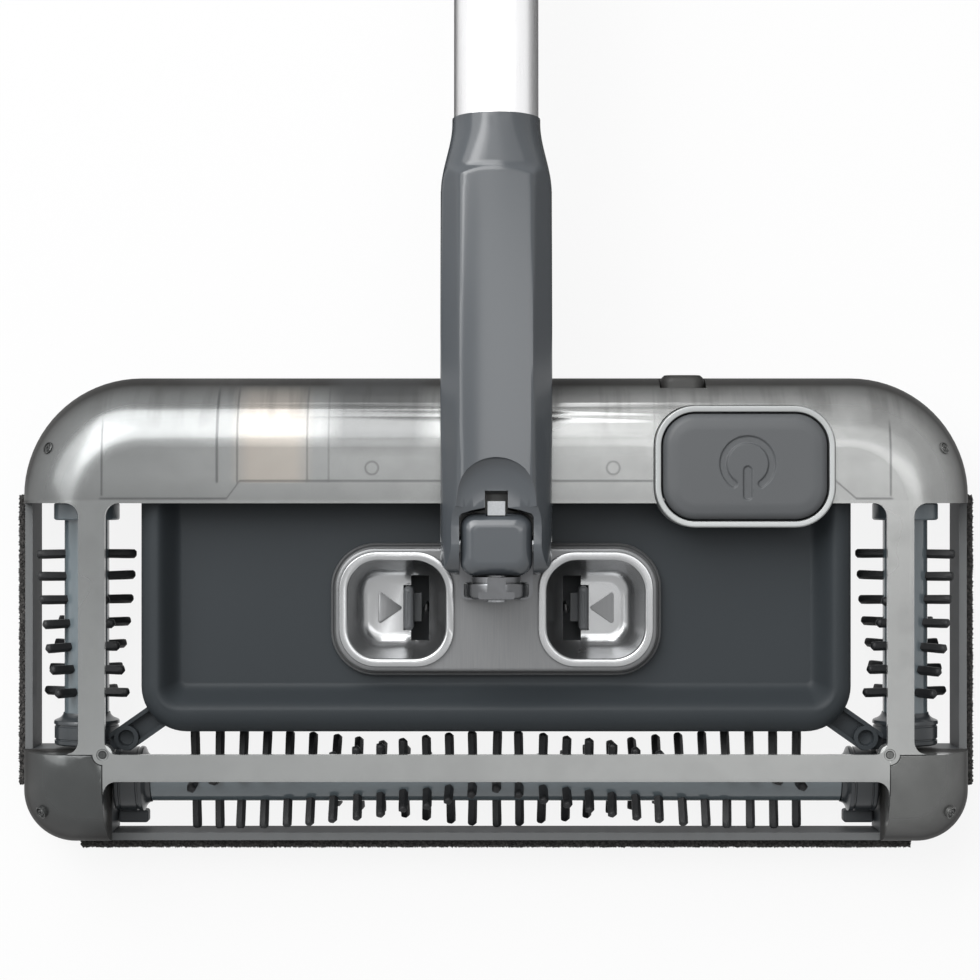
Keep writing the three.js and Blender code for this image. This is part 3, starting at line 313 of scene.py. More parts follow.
print("helpers: merged, mirrored")


# %% [markdown]
# ## Handing a piece to the frame
# A finished piece rides on one body of the frame and may stand for a node of it.


# %% Finished pieces
def fit(obj, body, slot, finish, *nodes):
    """Gives a piece its finish and its body; slot is not used; nodes are what it stands for."""
    obj.data.materials.clear()
    obj.data.materials.append(finish)
    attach(obj, body)
    if nodes:
        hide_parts(*nodes)
    print(obj.name, "on", body, "faces:", len(obj.data.polygons))
    return obj


# %% [markdown]
# ## Node trees written as arithmetic
# A finish is a small calculation from the place on the piece to a colour or a bump. Written node by node
# it is hard to follow, so a wire carries the signs of arithmetic and adds its Math nodes by itself. Every
# other node comes from one method, which sets the node's options first and then feeds its sockets. The
# same two classes serve the shaders and the geometry trees.


# %% Wires and nets
class Wire:
    """A socket that can stand in a Python expression."""

    def __init__(self, net, socket):
        self.net = net
        self.socket = socket

    def __add__(self, other):
        return self.net.maths("ADD", self, other)

    def __radd__(self, other):
        return self.net.maths("ADD", other, self)

    def __sub__(self, other):
        return self.net.maths("SUBTRACT", self, other)

    def __rsub__(self, other):
        return self.net.maths("SUBTRACT", other, self)

    def __mul__(self, other):
        return self.net.maths("MULTIPLY", self, other)

    def __rmul__(self, other):
        return self.net.maths("MULTIPLY", other, self)

    def __truediv__(self, other):
        return self.net.maths("DIVIDE", self, other)

    def size(self):
        """The value without its sign."""
        return self.net.maths("ABSOLUTE", self)

    def clamped(self):
        """The value held between 0 and 1."""
        return self.net.node("ShaderNodeClamp", {}, {"Value": self})

    def above(self, level, blur):
        """0 below the level and 1 above it, with a ramp as wide as blur."""
        return ((self - level) / blur + 0.5).clamped()

    def near(self, centre, half, blur):
        """1 within half of the centre and 0 outside it."""
        return 1 - (self - centre).size().above(half, blur)


class Net:
    """A node tree that is filled by expressions."""

    def __init__(self, tree):
        self.tree = tree

    def feed(self, socket, value):
        """Links a wire to a socket, or sets the socket to a plain value."""
        if isinstance(value, Wire):
            self.tree.links.new(value.socket, socket)
        else:
            socket.default_value = value

    def node(self, kind, settings=None, inputs=None, output=0):
        """Adds a node: its settings come first, then the values or links of its inputs."""
        made = self.tree.nodes.new(kind)
        for key, value in (settings or {}).items():
            setattr(made, key, value)
        for key, value in (inputs or {}).items():
            self.feed(made.inputs[key], value)
        return Wire(self, made.outputs[output])

    def maths(self, operation, *values):
        """A Math node; its inputs are numbered."""
        return self.node("ShaderNodeMath", {"operation": operation}, dict(enumerate(values)))

    def split(self, vector):
        """The three numbers in a vector."""
        parts = self.node("ShaderNodeSeparateXYZ", {}, {"Vector": vector}).socket.node
        return [Wire(self, parts.outputs[k]) for k in range(3)]


print("a wire adds, subtracts, multiplies and divides, also when it comes second")


# %% [markdown]
# ## Finishes
# A finish starts from the Principled shader. Numbers that hold all over the piece sit on the shader's own
# sockets; only colour, roughness, metallic, alpha and the bump change from place to place. They read
# Object coordinates, and because every piece's object stands at the origin, one set of coordinates in
# millimetres serves them all.


# %% The class for finishes
def linear(level):
    """From a screen level of 0 to 255 to the linear value that the shaders count in."""
    share = level / 255
    return share / 12.92 if share <= 0.04045 else ((share + 0.055) / 1.055) ** 2.4


def tone(red, green=None, blue=None):
    """A colour from screen levels; a single level is a grey."""
    levels = (red, red if green is None else green, red if blue is None else blue)
    return (*[linear(level) for level in levels], 1)


class Finish(Net):
    """A material; what is passed as a keyword goes on the Principled shader's socket of that name."""

    def __init__(self, name, **sockets):
        self.material = bpy.data.materials.new(name)
        self.material.use_nodes = True
        super().__init__(self.material.node_tree)
        self.surface = self.tree.nodes["Principled BSDF"]
        self.place = self.node("ShaderNodeTexCoord", {}, {}, "Object")
        self.set(**sockets)

    def set(self, **sockets):
        """Feeds the shader's own sockets; base_color goes to Base Color, and so on."""
        for key, value in sockets.items():
            self.feed(self.surface.inputs[key.replace("_", " ").title().replace("Ior", "IOR")], value)
        return self

    def axes(self):
        """X, Y and Z on the object, in millimetres."""
        return [wire / MM for wire in self.split(self.place)]

    def stretched(self, scale):
        """The place, scaled unevenly, so that a noise becomes streaks."""
        return self.node("ShaderNodeMapping", {}, {"Vector": self.place, "Scale": scale})

    def noise(self, scale, detail=3, roughness=0.5, place=None):
        """Noise from 0 to 1; scale counts its lumps per metre."""
        return self.node("ShaderNodeTexNoise", {}, {
            "Vector": place or self.place, "Scale": scale, "Detail": detail, "Roughness": roughness})

    def cells(self, scale):
        """The distance to the nearest of many scattered points; scale counts them per metre."""
        return self.node("ShaderNodeTexVoronoi", {}, {"Vector": self.place, "Scale": scale}, "Distance")

    def mix(self, factor, first, second):
        """Colours are mixed by a Mix node, which keeps their hue."""
        made = self.node("ShaderNodeMix", {"data_type": "RGBA"}, {"Factor": factor}).socket.node
        for key, value in (("A_Color", first), ("B_Color", second)):
            socket = next(s for s in made.inputs if s.identifier == key)
            self.feed(socket, value)
        return Wire(self, next(s for s in made.outputs if s.identifier == "Result_Color"))

    def bump(self, height, depth):
        """Raises the surface by a height from 0 to 1, times a depth in millimetres."""
        normal = self.node("ShaderNodeBump", {}, {"Height": height, "Distance": depth * MM, "Strength": 1.0})
        return self.set(normal=normal)


print("a screen level of 128 is", round(linear(128), 3), "in linear light")


# %% [markdown]
# ### Smoky see-through plastic
# The shell is a thin moulding of smoke-grey clear plastic. Light that falls on it is half reflected and
# half swallowed, so it looks like dull metal, and the walls and ribs behind it show as faint darker
# lines. The finish is a slightly metallic grey with a high alpha. Its steep edges are darker, partly
# because more plastic lies behind each point and partly as painted shade. Painted light makes the grey
# lighter toward the right, painted shade darkens the hump's front edge and its rear over the battery,
# and a painted highlight runs along the tops of the rails. The lines of the inner walls follow the base
# that stands under the shell, whose places come from the frame.

# %% Places that the shell's finish follows
base = Span("rear_base")
pedal = Span("power_pedal")
motor_box = Span("motor")
battery_box = Span("battery_pack")
pivot = Span("roll_pin")
plate = Span("well_plate")
bezel = Span("pedal_bezel")
socket = Span("charging_socket")
FILLET = 24.5
CORNER_WIDTH = 30.9
head_half = -head.x0
neck_radius = 18.65
head_rear = socket.y1 - 0.6
rail_top = head.z1 - FILLET + 0.5
corner_x = head_half - CORNER_WIDTH
hump_front = base.y0 - 1.5
bay_left = motor_box.x1 - 34.5
bay_right = pedal.x1 + 1.6
print("hump from", round(hump_front, 1), "to", round(head_rear, 1), "mm, corners from", round(corner_x, 1))

# %% Walls and ribs that show through the hump
LINE_HALF = 0.35
LINE_BLUR = 0.4
RIBS_SEEN = (
    (bay_left - 6.5, 0.45, 1), (bay_left + 0.4, LINE_HALF, 0.9), (battery_box.x0 - 18.3, LINE_HALF, 0.7),
    (battery_box.x0 - 11, LINE_HALF, 0.5), (battery_box.x1 + 8, LINE_HALF, 0.2))
BOSSES_SEEN = (battery_box.x0 + 3.7, 39.8)
BOSS_SEEN_RADIUS = 2.2


def hump_lines(finish, x, y, deep):
    """The inner wall, the end walls, the ribs and two round bosses, as one mask."""
    inner_wall = hump_front + 1.6 + 6 * x.above(bay_left - 1, 4.5) * (1 - x.above(bay_right + 5, 7))
    lines = (y - inner_wall).near(0, LINE_HALF, 0.5) * (1 - x.size().above(corner_x + 1, 1))
    end_walls = x.size().near(corner_x + 0.3, LINE_HALF, 0.5)
    lines = lines + end_walls * y.above(hump_front + 2.5, 0.5) * (1 - y.above(hump_front + 27, 4))
    for place, half, strength in RIBS_SEEN:
        lines = lines + x.near(place, half, LINE_BLUR) * deep * strength
    off_y = y - (hump_front + 12)
    for centre_x in BOSSES_SEEN:
        off_x = x - centre_x
        away = finish.maths("SQRT", off_x * off_x + off_y * off_y)
        lines = lines + away.near(BOSS_SEEN_RADIUS, LINE_HALF, LINE_BLUR) * 0.7
    return lines.clamped()


print("ribs:", len(RIBS_SEEN), "bosses:", len(BOSSES_SEEN))


# %% Tints that show through the hump, and painted shade
def hump_tints(finish, x, y, side, steep, low, body):
    """Paints the hump's works, painted shade and a lighter front into body; also gives the mask of the lines.
    """
    # The front band is mixed toward a lighter grey.
    forward = 1 - y.above(-20, 60)
    body = finish.mix(forward * (1 - steep) * (1 - low) * 0.3, body, tone(176, 178, 177))
    behind = y.above(hump_front + 1, 0.6)
    deep = y.above(hump_front + 7, 0.5) * (1 - y.above(head_rear - 3, 5))
    lines = hump_lines(finish, x, y, deep)
    warm = x.near((bay_left + battery_box.x0 - 18) / 2, 11, 7) * deep * (1 - steep)
    body = finish.mix(warm * 0.3 * behind, body, tone(176, 162, 146))
    # Painted shade: a dark grey over the battery toward the hump's rear edge.
    painted_shade_over_cells = x.near(battery_box.x0 + 6, 16, 8) * y.above(head_rear - 24, 8) * behind
    body = finish.mix(painted_shade_over_cells * 0.6, body, tone(60, 61, 62))
    streaks = finish.noise(1, 3, 0.6, finish.stretched((160, 14, 14))).above(0.56, 0.16)
    body = finish.mix(streaks * y.above(head_rear - 15, 8) * 0.3, body, tone(50, 49, 48))
    # Painted shade: darker along the hump's front edge, most on the left.
    dim = (1 - y.above(hump_front + 5, 9)) * behind * (1 - side * 0.8)
    body = finish.mix(dim * 0.45, body, tone(90, 91, 91))
    return finish.mix(lines * 0.62, body, tone(50, 51, 52)), lines


print("the hump shows the works from", round(bay_left, 1), "to", round(bay_right, 1), "mm across")


# %% The smoke-grey finish
def smoke(name, level, alpha, hump=True):
    """level is the plastic's grey; hump adds what shows through the closed rear part and painted shade."""
    finish = Finish(name, ior=1.45, specular_ior_level=0.25, coat_roughness=0.1)
    x, y, z = finish.axes()
    cloud = finish.noise(18, 2)
    grain = finish.noise(900, 2, 0.6)
    haze = finish.noise(45, 4, 0.6)
    # Painted shade: the steep fillet is darkened, partly also for the thicker plastic seen edge-on.
    steep = 1 - z.above(head.z1 - 8.8, 9)
    low = 1 - z.above(rail_top + 1, 3)
    rail_face = 1 - z.above(rail_top - 0.9, 0.4)
    # Painted light: the grey runs from darker at the left to lighter at the right, with a random cloud in it.
    side = x.above(-30, 210)
    left = tone(level - 20, level - 18, level - 18)
    right = tone(level + 12, level + 13, level + 12)
    body = finish.mix((side * 0.9 + (cloud - 0.4) * 0.5).clamped(), left, right)
    body = finish.mix(((haze - 0.5).size() * 1.1).clamped(), body, tone(level - 46))
    body = finish.mix(steep * 0.95, body, tone(30, 29, 28))
    # Painted highlight: a lighter strip along the rails' tops, over the rails' own darker grey.
    rail = finish.mix(rail_face, tone(104, 106, 107), tone(74, 76, 78))
    body = finish.mix(low * 0.9, body, rail)
    opacity = alpha + steep * (0.995 - alpha)
    if hump:
        body, lines = hump_tints(finish, x, y, side, steep, low, body)
        opacity = (opacity + lines * 0.05).clamped()
    finish.set(
        base_color=body, metallic=0.7 * (1 - steep * 0.9) * (1 - low), alpha=opacity,
        coat_weight=0.4 * (1 - steep), roughness=0.22 + 0.08 * cloud + 0.35 * steep)
    return finish.bump(grain, 0.001).material


shell_finish = smoke("smoke_shell", 131, 0.94)
cover_finish = smoke("smoke_cover", 88, 0.97, hump=False)
socket_finish = smoke("smoke_socket", 90, 0.99, hump=False)
print("nodes in the shell's finish:", len(shell_finish.node_tree.nodes))

# %% [markdown]
# ### Moulded plastics
# The dark panel and the slate-grey neck are opaque mouldings. A fine leather-like grain from two noises
# breaks the gloss of the panel, and the neck, which is polished in its mould, keeps only a slow waviness
# and small scratches.


# %% Opaque plastics
def moulded(name, colour, roughness, grain_depth, coat=0.0, spread=6, shine=0.5):
    """An even plastic whose screen levels wander by spread and whose grain is as deep as grain_depth."""
    finish = Finish(name, ior=1.5, specular_ior_level=shine, coat_weight=coat, coat_roughness=0.06)
    slow = finish.noise(14, 2)
    grain = finish.noise(2600, 2, 0.6)
    low = tone(*[level - spread / 2 for level in colour])
    high = tone(*[level + spread / 2 for level in colour])
    finish.set(base_color=finish.mix(slow, low, high), roughness=roughness + 0.06 * slow + 0.05 * grain)
    return finish.bump(grain, grain_depth).material


charcoal_finish = moulded("charcoal_satin", (43, 47, 50), 0.45, 0.015, shine=0.16)
slate_finish = moulded("slate_gloss", (66, 70, 74), 0.12, 0.0006, spread=4)
pedal_finish = moulded("pedal_grey", (74, 76, 78), 0.4, 0.015, shine=0.3)
pan_finish = moulded("pan_grey", (80, 83, 86), 0.5, 0.02, shine=0.3)
corner_finish = moulded("bracket_slate", (52, 56, 59), 0.4, 0.01, shine=0.3)
black_finish = moulded("black_gloss", (22, 23, 24), 0.2, 0.002, 0.3)
collar_finish = moulded("collar_gloss", (44, 48, 51), 0.26, 0.002, 0.2, shine=0.4)
core_finish = moulded("brush_core", (92, 102, 107), 0.14, 0.003, 0.6)
block_finish = moulded("bearing_block", (104, 114, 120), 0.3, 0.005, 0.2)
wheel_finish = moulded("wheel_rubber", (40, 40, 41), 0.75, 0.05)
print("finishes so far:", len(bpy.data.materials))

# %% [markdown]
# ### Metals
# Brushed metal is a fine noise stretched along the brushing, which changes both the roughness and the
# height. Turned and drawn parts get the same streaks across or along their axis. Satin silver on the
# finger wells is plated plastic, so it has almost no streaks and only a soft cloud in its gloss.


# %% Metal finishes
def metal(name, colour, roughness, streaks=(1, 1, 1), scale=1800, depth=0.004, spread=14, metallic=1.0):
    """streaks below 1 stretch the noise along that axis; scale counts its lumps per metre across them."""
    finish = Finish(name)
    lines = finish.noise(scale, 3, 0.6, finish.stretched(streaks))
    cloud = finish.noise(30, 2)
    low = tone(*[level - spread for level in colour])
    high = tone(*[min(level + spread, 255) for level in colour])
    rough = roughness + 0.12 * (lines - 0.5) + 0.06 * cloud
    finish.set(base_color=finish.mix(lines, low, high), metallic=metallic, roughness=rough)
    return finish.bump(lines, depth).material


plate_finish = metal("brushed_plate", (104, 105, 106), 0.36, (1, 0.03, 1), 2200, 0.002, 8, 0.6)
silver_finish = metal("satin_silver", (158, 159, 160), 0.22, scale=60, depth=0.0, spread=3, metallic=0.92)
bezel_finish = metal("bezel_silver", (146, 148, 148), 0.5, scale=60, depth=0.0, spread=4)
chrome_finish = metal("chrome", (96, 97, 99), 0.2, scale=300, depth=0.0005, spread=4)
bracket_finish = metal("bracket_grey", (104, 105, 107), 0.38, (1, 0.05, 1), 1800, 0.003, 8)
steel_finish = metal("turned_steel", (140, 142, 144), 0.3, spread=12)
tube_finish = metal("tube_silver", (242, 242, 243), 0.26, (1, 0.02, 1), 1600, 0.0, 3, 0.94)
print("finishes so far:", len(bpy.data.materials))

# %% [markdown]
# ### Parts seen through the shell and from below
# The motor, battery and circuit board are only glimpsed, but each still gets the finish of the real
# thing: a wrap with a seam for the cells, green board with pale printed lines, and dull zinc for the
# gears.


# %% Inner finishes
def battery_wrap():
    """A wrinkled sleeve with one seam across the middle of the pack."""
    finish = Finish("battery_wrap", ior=1.5)
    seam = finish.axes()[0].near(0, 0.8, 0.3)
    wrinkle = finish.noise(120, 3)
    body = finish.mix(wrinkle, tone(137, 126, 113), tone(150, 138, 124))
    finish.set(base_color=finish.mix(seam * 0.6, body, tone(90, 84, 78)), roughness=0.45 + 0.1 * wrinkle)
    return finish.bump(wrinkle, 0.1).material


def printed_board():
    """Pale tracks on green, from the borders of scattered cells."""
    finish = Finish("circuit_board", ior=1.5, coat_weight=0.3)
    tracks = finish.cells(260).near(0.42, 0.05, 0.05)
    body = finish.mix(tracks, tone(38, 78, 52), tone(70, 112, 78))
    finish.set(base_color=body, roughness=0.4 + 0.1 * finish.noise(300))
    return finish.bump(tracks, 0.03).material


battery_finish = battery_wrap()
board_finish = printed_board()
gear_finish = metal("gear_zinc", (140, 141, 143), 0.4, scale=900, depth=0.01)
print("finishes so far:", len(bpy.data.materials))

# %% [markdown]
# ### Bristles, pile and foam
# The bristles are black nylon, a little shiny along their length. The bumper strips carry a short dark
# pile whose tufts catch the light one by one, so their finish is speckled from black to grey: painted
# shade between the tufts and a lighter grey on them, with the same speckle as bump. The grip's foam has
# closed pores, darkened as painted shade.


# %% Soft finishes
def bristle():
    """Black nylon, a little lighter here and there."""
    finish = Finish("bristle_nylon", ior=1.5, specular_ior_level=0.3)
    tint = finish.noise(700, 2)
    finish.set(base_color=finish.mix(tint, tone(17, 18, 19), tone(32, 33, 35)), roughness=0.45 + 0.16 * tint)
    return finish.bump(finish.noise(3500, 2), 0.02).material


def pile():
    """Short dark pile whose tufts catch the light one by one, with painted shade between them."""
    finish = Finish("bumper_pile", ior=1.45)
    tufts = finish.cells(900)
    clumps = finish.noise(260, 3, 0.7)
    dark = finish.mix(clumps, tone(34, 33, 32), tone(84, 82, 80))
    # Painted shade: black between the tufts; the tufts keep a lighter random grey for the light they catch.
    finish.set(base_color=finish.mix(tufts.above(0.45, 0.4) * 0.8, dark, tone(20, 20, 20)), roughness=0.9)
    return finish.bump(tufts * 0.6 + clumps * 0.4, 0.35).material


def foam():
    """Foam with closed pores, darkened as painted shade."""
    finish = Finish("grip_foam", ior=1.4)
    pores = finish.cells(1100).above(0.32, 0.3)
    cloud = finish.noise(40, 2)
    body = finish.mix(cloud, tone(44, 45, 46), tone(56, 57, 58))
    # Painted shade: the pores are darker in their hollows.
    finish.set(base_color=finish.mix(pores * 0.5, body, tone(34, 35, 36)), roughness=0.78 + 0.1 * cloud)
    return finish.bump(pores, 0.12).material


bristle_finish = bristle()
pile_finish = pile()
foam_finish = foam()
print("finishes:", len(bpy.data.materials))

# %% [markdown]
# ## The top shell
# One smoke-grey moulding makes the closed hump over the works, a trough for the handle, the side bands,
# the front band and the thin outer rails. It starts as a pillow: the head's outline, drawn in step by
# step along a quarter circle to make the wide fillet round the top. A second, smaller pillow hollows it.
# The windows, the trough and the openings for the pedal and the socket are cuts, and the edges that they
# leave are rounded last.

# %% The head's outer form
WALL = 2.6
REAR_CORNER = 41
FRONT_CORNER = 18
FILLET_STEPS = 14
FAR = 220
NECK_ROOM = 2.4


def head_outline(drawn_in):
    """The head from above; its corners get tighter as it is drawn in."""
    half = head_half - drawn_in
    front = max(FRONT_CORNER - 0.45 * drawn_in, 1)
    rear = REAR_CORNER - 0.8 * drawn_in
    return rounded_rect(-half, half, head.y0 + drawn_in, head_rear - drawn_in, front, rear, 20)


def pillow(name, drawn_in, low):
    """The head as a solid with its wide fillet; drawn_in makes the smaller one that hollows it."""
    radius = FILLET - drawn_in
    shoulder = head.z1 - FILLET
    levels = [(head_outline(drawn_in), low)]
    for k in range(FILLET_STEPS + 1):
        angle = math.radians(90 * k / FILLET_STEPS)
        outline = head_outline(drawn_in + radius * (1 - math.cos(angle)))
        levels.append((outline, shoulder + radius * math.sin(angle)))
    return loft(name, levels)


def trough(name, extra):
    """A long cylinder round the roll pin's line, where the neck lies."""
    return rod(name, neck_radius + NECK_ROOM + extra, "y", pivot.y - 9, FAR, (0, 0, pivot.z), 72)


outside = cut(pillow("top_shell_skin", 0, head.z0), trough("trough", 0))
inside = cut(pillow("room", WALL, head.z0 - 5), trough("trough_room", WALL))
shell = cut(outside, inside)
print("hollow shell:", len(shell.data.polygons), "faces")

# %% Places of the bands
BAND_HALF = 4.5
BAND_WIDTH = 9.2
BLEND = 4.6
SPINE_LOW = 33.5
band_centre = head_half - 27.1
band_in = band_centre - BAND_HALF
band_out = band_centre + BAND_HALF
band_front = head.y0 + 32.5
spine_half = neck_radius + 0.3
spine_front = plate.y1 + 0.6
print("side bands at", round(band_centre, 1), "mm, front band's rear edge at", round(band_front, 1))

# %% The shell's cuts
BEZEL_WIDTH = 2.3
GAP = 0.3


def bezel_outline(grow):
    """The bezel from above, made larger by grow."""
    x0, x1, y0, y1 = bezel.x0 - grow, bezel.x1 + grow, bezel.y0 - grow, bezel.y1 + grow
    return rounded_rect(x0, x1, y0, y1, 11.5 + BEZEL_WIDTH + grow, steps=14)


middle = slab(
    "middle_window", rounded_rect(-band_in, band_in, band_front, hump_front, BLEND), rail_top, FAR)
cut(middle, block("spine_left", -spine_half, spine_half, spine_front, FAR, 0, 2 * FAR))
under = block("under_middle", -band_in, band_in, band_front, hump_front, head.z0 - 1, SPINE_LOW)
side_window = slab(
    "side_window", rounded_rect(band_out, FAR, band_front, hump_front, BLEND), rail_top, FAR)
other_window = mirrored("other_window", side_window)
front_window = slab(
    "front_window", rounded_rect(-corner_x, corner_x, -FAR, band_front - BAND_WIDTH, BLEND), rail_top, FAR)
corner_room = block("corner_room", corner_x, FAR, -FAR, band_front + 0.05, rail_top - 0.02, FAR)
other_room = mirrored("other_room", corner_room)
pedal_room = slab("pedal_room", bezel_outline(GAP), 30, FAR)
socket_room = block(
    "socket_room", socket.x0 - GAP, socket.x1 + GAP, socket.y0, FAR, socket.z0 - GAP, socket.z1 + GAP)
shell = cut(
    shell, middle, under, side_window, other_window, front_window, corner_room, other_room, pedal_room,
    socket_room)
print("shell:", len(shell.data.polygons), "faces")

# %% [markdown]
# ## Bosses, corner covers and corner screws
# A hollow boss at each front corner ties the side band to the front band. The corner covers are cut from
# the same pillow as the shell, so the two surfaces line up across the seam. Small screws hold the covers
# and the hump's corners; each sits in a ring-shaped recess that stands square to the sloping surface.

# %% Bosses on the shell
BOSS = 3.4
BOSS_HOLE = 1.5
SHELL_EDGE = 0.35
boss = rod("boss", BOSS, "z", head.z1 - 5, head.z1 - 0.05, (corner_x, band_front, 0))
boss_twin = mirrored("boss_twin", boss)
boss_hole = rod("boss_hole", BOSS_HOLE, "z", 30, FAR, (corner_x, band_front, 0), 24)
hole_twin = mirrored("hole_twin", boss_hole)
shell = cut(join(shell, boss, boss_twin), boss_hole, hole_twin)
fit(smooth(rounded(shell, SHELL_EDGE)), "head", "smoke", shell_finish, "top_shell")

# %% Corner covers
cover = cut(pillow("corner_cover", 0, rail_top), pillow("cover_room", WALL, rail_top - 5))
cover = common(cover, block(
    "cover_region", corner_x + GAP, FAR, -FAR, band_front - GAP, rail_top + GAP, head.z1 + 5))
cover = cut(cover, rod("cover_notch", BOSS + GAP, "z", 0, FAR, (corner_x, band_front, 0)))
cover = smooth(rounded(cover, SHELL_EDGE))
other_cover = mirrored("corner_cover_dressed_left", cover)
cover.name = "corner_cover_dressed_right"
fit(cover, "head", "smoke", cover_finish, "corner_cover_right")
fit(other_cover, "head", "smoke", cover_finish, "corner_cover_left")


# %% Corner screws, square to the fillet
def on_fillet(corner, radius, bearing, tilt):
    """A point on the fillet and the direction that it faces; both angles are in degrees."""
    t = math.radians(tilt)
    drawn_in = FILLET * (1 - math.cos(t))
    reach = radius - drawn_in
    c, s = math.cos(math.radians(bearing)), math.sin(math.radians(bearing))
    height = head.z1 - FILLET + FILLET * math.sin(t)
    point = Vector((corner[0] + reach * c, corner[1] + reach * s, height))
    return point, Vector((math.cos(t) * c, math.cos(t) * s, math.sin(t)))


SCREW_PROFILE = [
    (0, 0), (1.1, 0), (1.3, -0.4), (1.6, -0.4), (1.8, 0.1), (2, 0.15), (2.2, 0), (2.2, -1.8), (0, -1.8)]
SLOT_HALF = (0.8, 0.16)


def ring_screw(name, point, facing):
    """A recessed screw: a raised ring, a groove, a flat head and a cross slot."""
    screw = turned(name, SCREW_PROFILE, "z", (0, 0, 0), 24)
    for turn in (0, 90):
        slot = block("slot", -SLOT_HALF[0], SLOT_HALF[0], -SLOT_HALF[1], SLOT_HALF[1], -0.4, 1)
        slot.data.transform(Matrix.Rotation(math.radians(turn), 4, "Z"))
        screw = cut(screw, slot)
    turn = Vector((0, 0, 1)).rotation_difference(facing).to_matrix().to_4x4()
    screw.data.transform(Matrix.Translation(point * MM) @ turn)
    return screw


SCREW_TILT = 43
rear_centre = (head_half - REAR_CORNER, head_rear - REAR_CORNER)
front_centre = (head_half - FRONT_CORNER, head.y0 + FRONT_CORNER)
screws = []
for centre, radius, bearing in ((rear_centre, REAR_CORNER, 28.5), (front_centre, FRONT_CORNER, -33)):
    screw = ring_screw("screw", *on_fillet(centre, radius, bearing, SCREW_TILT))
    screws += [mirrored("screw", screw), screw]
fit(smooth(merged("corner_screws", screws)), "head", "smoke", cover_finish)
boss_screw = ring_screw("boss_screw", Vector((corner_x, band_front, head.z1 - 0.1)), Vector((0, 0, 1)))
boss_screws = merged("boss_screws", [mirrored("boss_screw", boss_screw), boss_screw])
fit(smooth(boss_screws), "head", "smoke", cover_finish)

# %% [markdown]
# ## The centre panel
# The panel is one thin charcoal moulding: a skirt that rises from behind the front brush, rolls over a
# soft rim and falls into a wide dish with a flat floor. It is built as a single run of outlines, from the
# middle of the floor's upper side, over the rim, round the lower edge and back under the dish, so the
# wall closes on itself. A smooth-step curve gives the dish its two soft folds. Channel-section arms reach
# from its front corners to the corner hubs.

# %% The panel's run of outlines
panel_half = corner_x - 11.6
panel_front = band_front + 6.8
panel_rear = hump_front + 0.9
PANEL_CORNER = 15.8
PANEL_BOTTOM = 17
PANEL_SHOULDER = 33
PANEL_WALL = 2.2
RIM = 39
FLOOR = 30
RIM_RUN = (5.9, 7.7)
SLOPE_RUN = (7.8, 9)
FLARE = 0.5
UNDERSIDE_OUT = 1.2
DISH_STEPS = 14
RIM_STEPS = 9
dish_half = panel_half - RIM_RUN[0]
dish_front = panel_front + RIM_RUN[1]
floor_half = dish_half - SLOPE_RUN[0]
floor_front = dish_front + SLOPE_RUN[1]


def panel_outline(drawn_in):
    """The panel from above; at the front it is drawn in faster, so the rim there is wider."""
    half = panel_half - drawn_in
    front_in = drawn_in * RIM_RUN[1] / RIM_RUN[0] if drawn_in > 0 else drawn_in
    corner = max(PANEL_CORNER - drawn_in, 1)
    return rounded_rect(-half, half, panel_front + front_in, panel_rear + 30, corner, 1)


def dish_outline(climb, grow=0):
    """climb runs from 0 at the floor to 1 at the rim."""
    half = floor_half + SLOPE_RUN[0] * climb + grow
    front = floor_front - SLOPE_RUN[1] * climb - grow
    return rounded_rect(-half, half, front, panel_rear + 20, 1.5 + 6 * climb, 1)


def soft_step(t):
    """From 0 to 1 with a level start and end."""
    return t * t * (3 - 2 * t)


def dish_height(climb):
    """The height of the dish's upper side."""
    return FLOOR + (RIM - FLOOR) * soft_step(climb)


rings = [(dish_outline(k / DISH_STEPS), dish_height(k / DISH_STEPS)) for k in range(DISH_STEPS + 1)]
for k in range(RIM_STEPS - 1, -1, -1):
    angle = math.radians(90 * k / RIM_STEPS)
    height = PANEL_SHOULDER + (RIM - PANEL_SHOULDER) * math.sin(angle)
    rings.append((panel_outline(RIM_RUN[0] * (1 - math.cos(angle))), height))
rings += [(panel_outline(-FLARE), PANEL_BOTTOM), (panel_outline(PANEL_WALL - FLARE), PANEL_BOTTOM)]
rings += [(panel_outline(PANEL_WALL), PANEL_SHOULDER - 2), (panel_outline(PANEL_WALL + 1.2), RIM - 3.5)]
for k in range(DISH_STEPS, -1, -2):
    climb = k / DISH_STEPS
    rings.append((dish_outline(climb, UNDERSIDE_OUT), dish_height(climb) - PANEL_WALL))
panel = loft("centre_panel_dressed", rings)
print("panel:", len(rings), "outlines,", len(panel.data.polygons), "faces")

# %% Struts and hubs
hub = (corner_x - 6.3, band_front + 4.6, 0)
arm_end = Vector((corner_x - GAP, band_front + 0.5, 0))
arm_start = Vector((floor_half + 5, dish_front, 0))
ARM_HALF = 4.5
ARM_LOW = 26.5
ARM_HIGH = 32.5
CHANNEL_HALF = 3.1
CHANNEL_DEPTH = 3
HUB = 4.2
HUB_DIP = [(0, ARM_HIGH - 1.6), (2.4, ARM_HIGH - 1.6), (3.0, ARM_HIGH + 2), (0, ARM_HIGH + 2)]


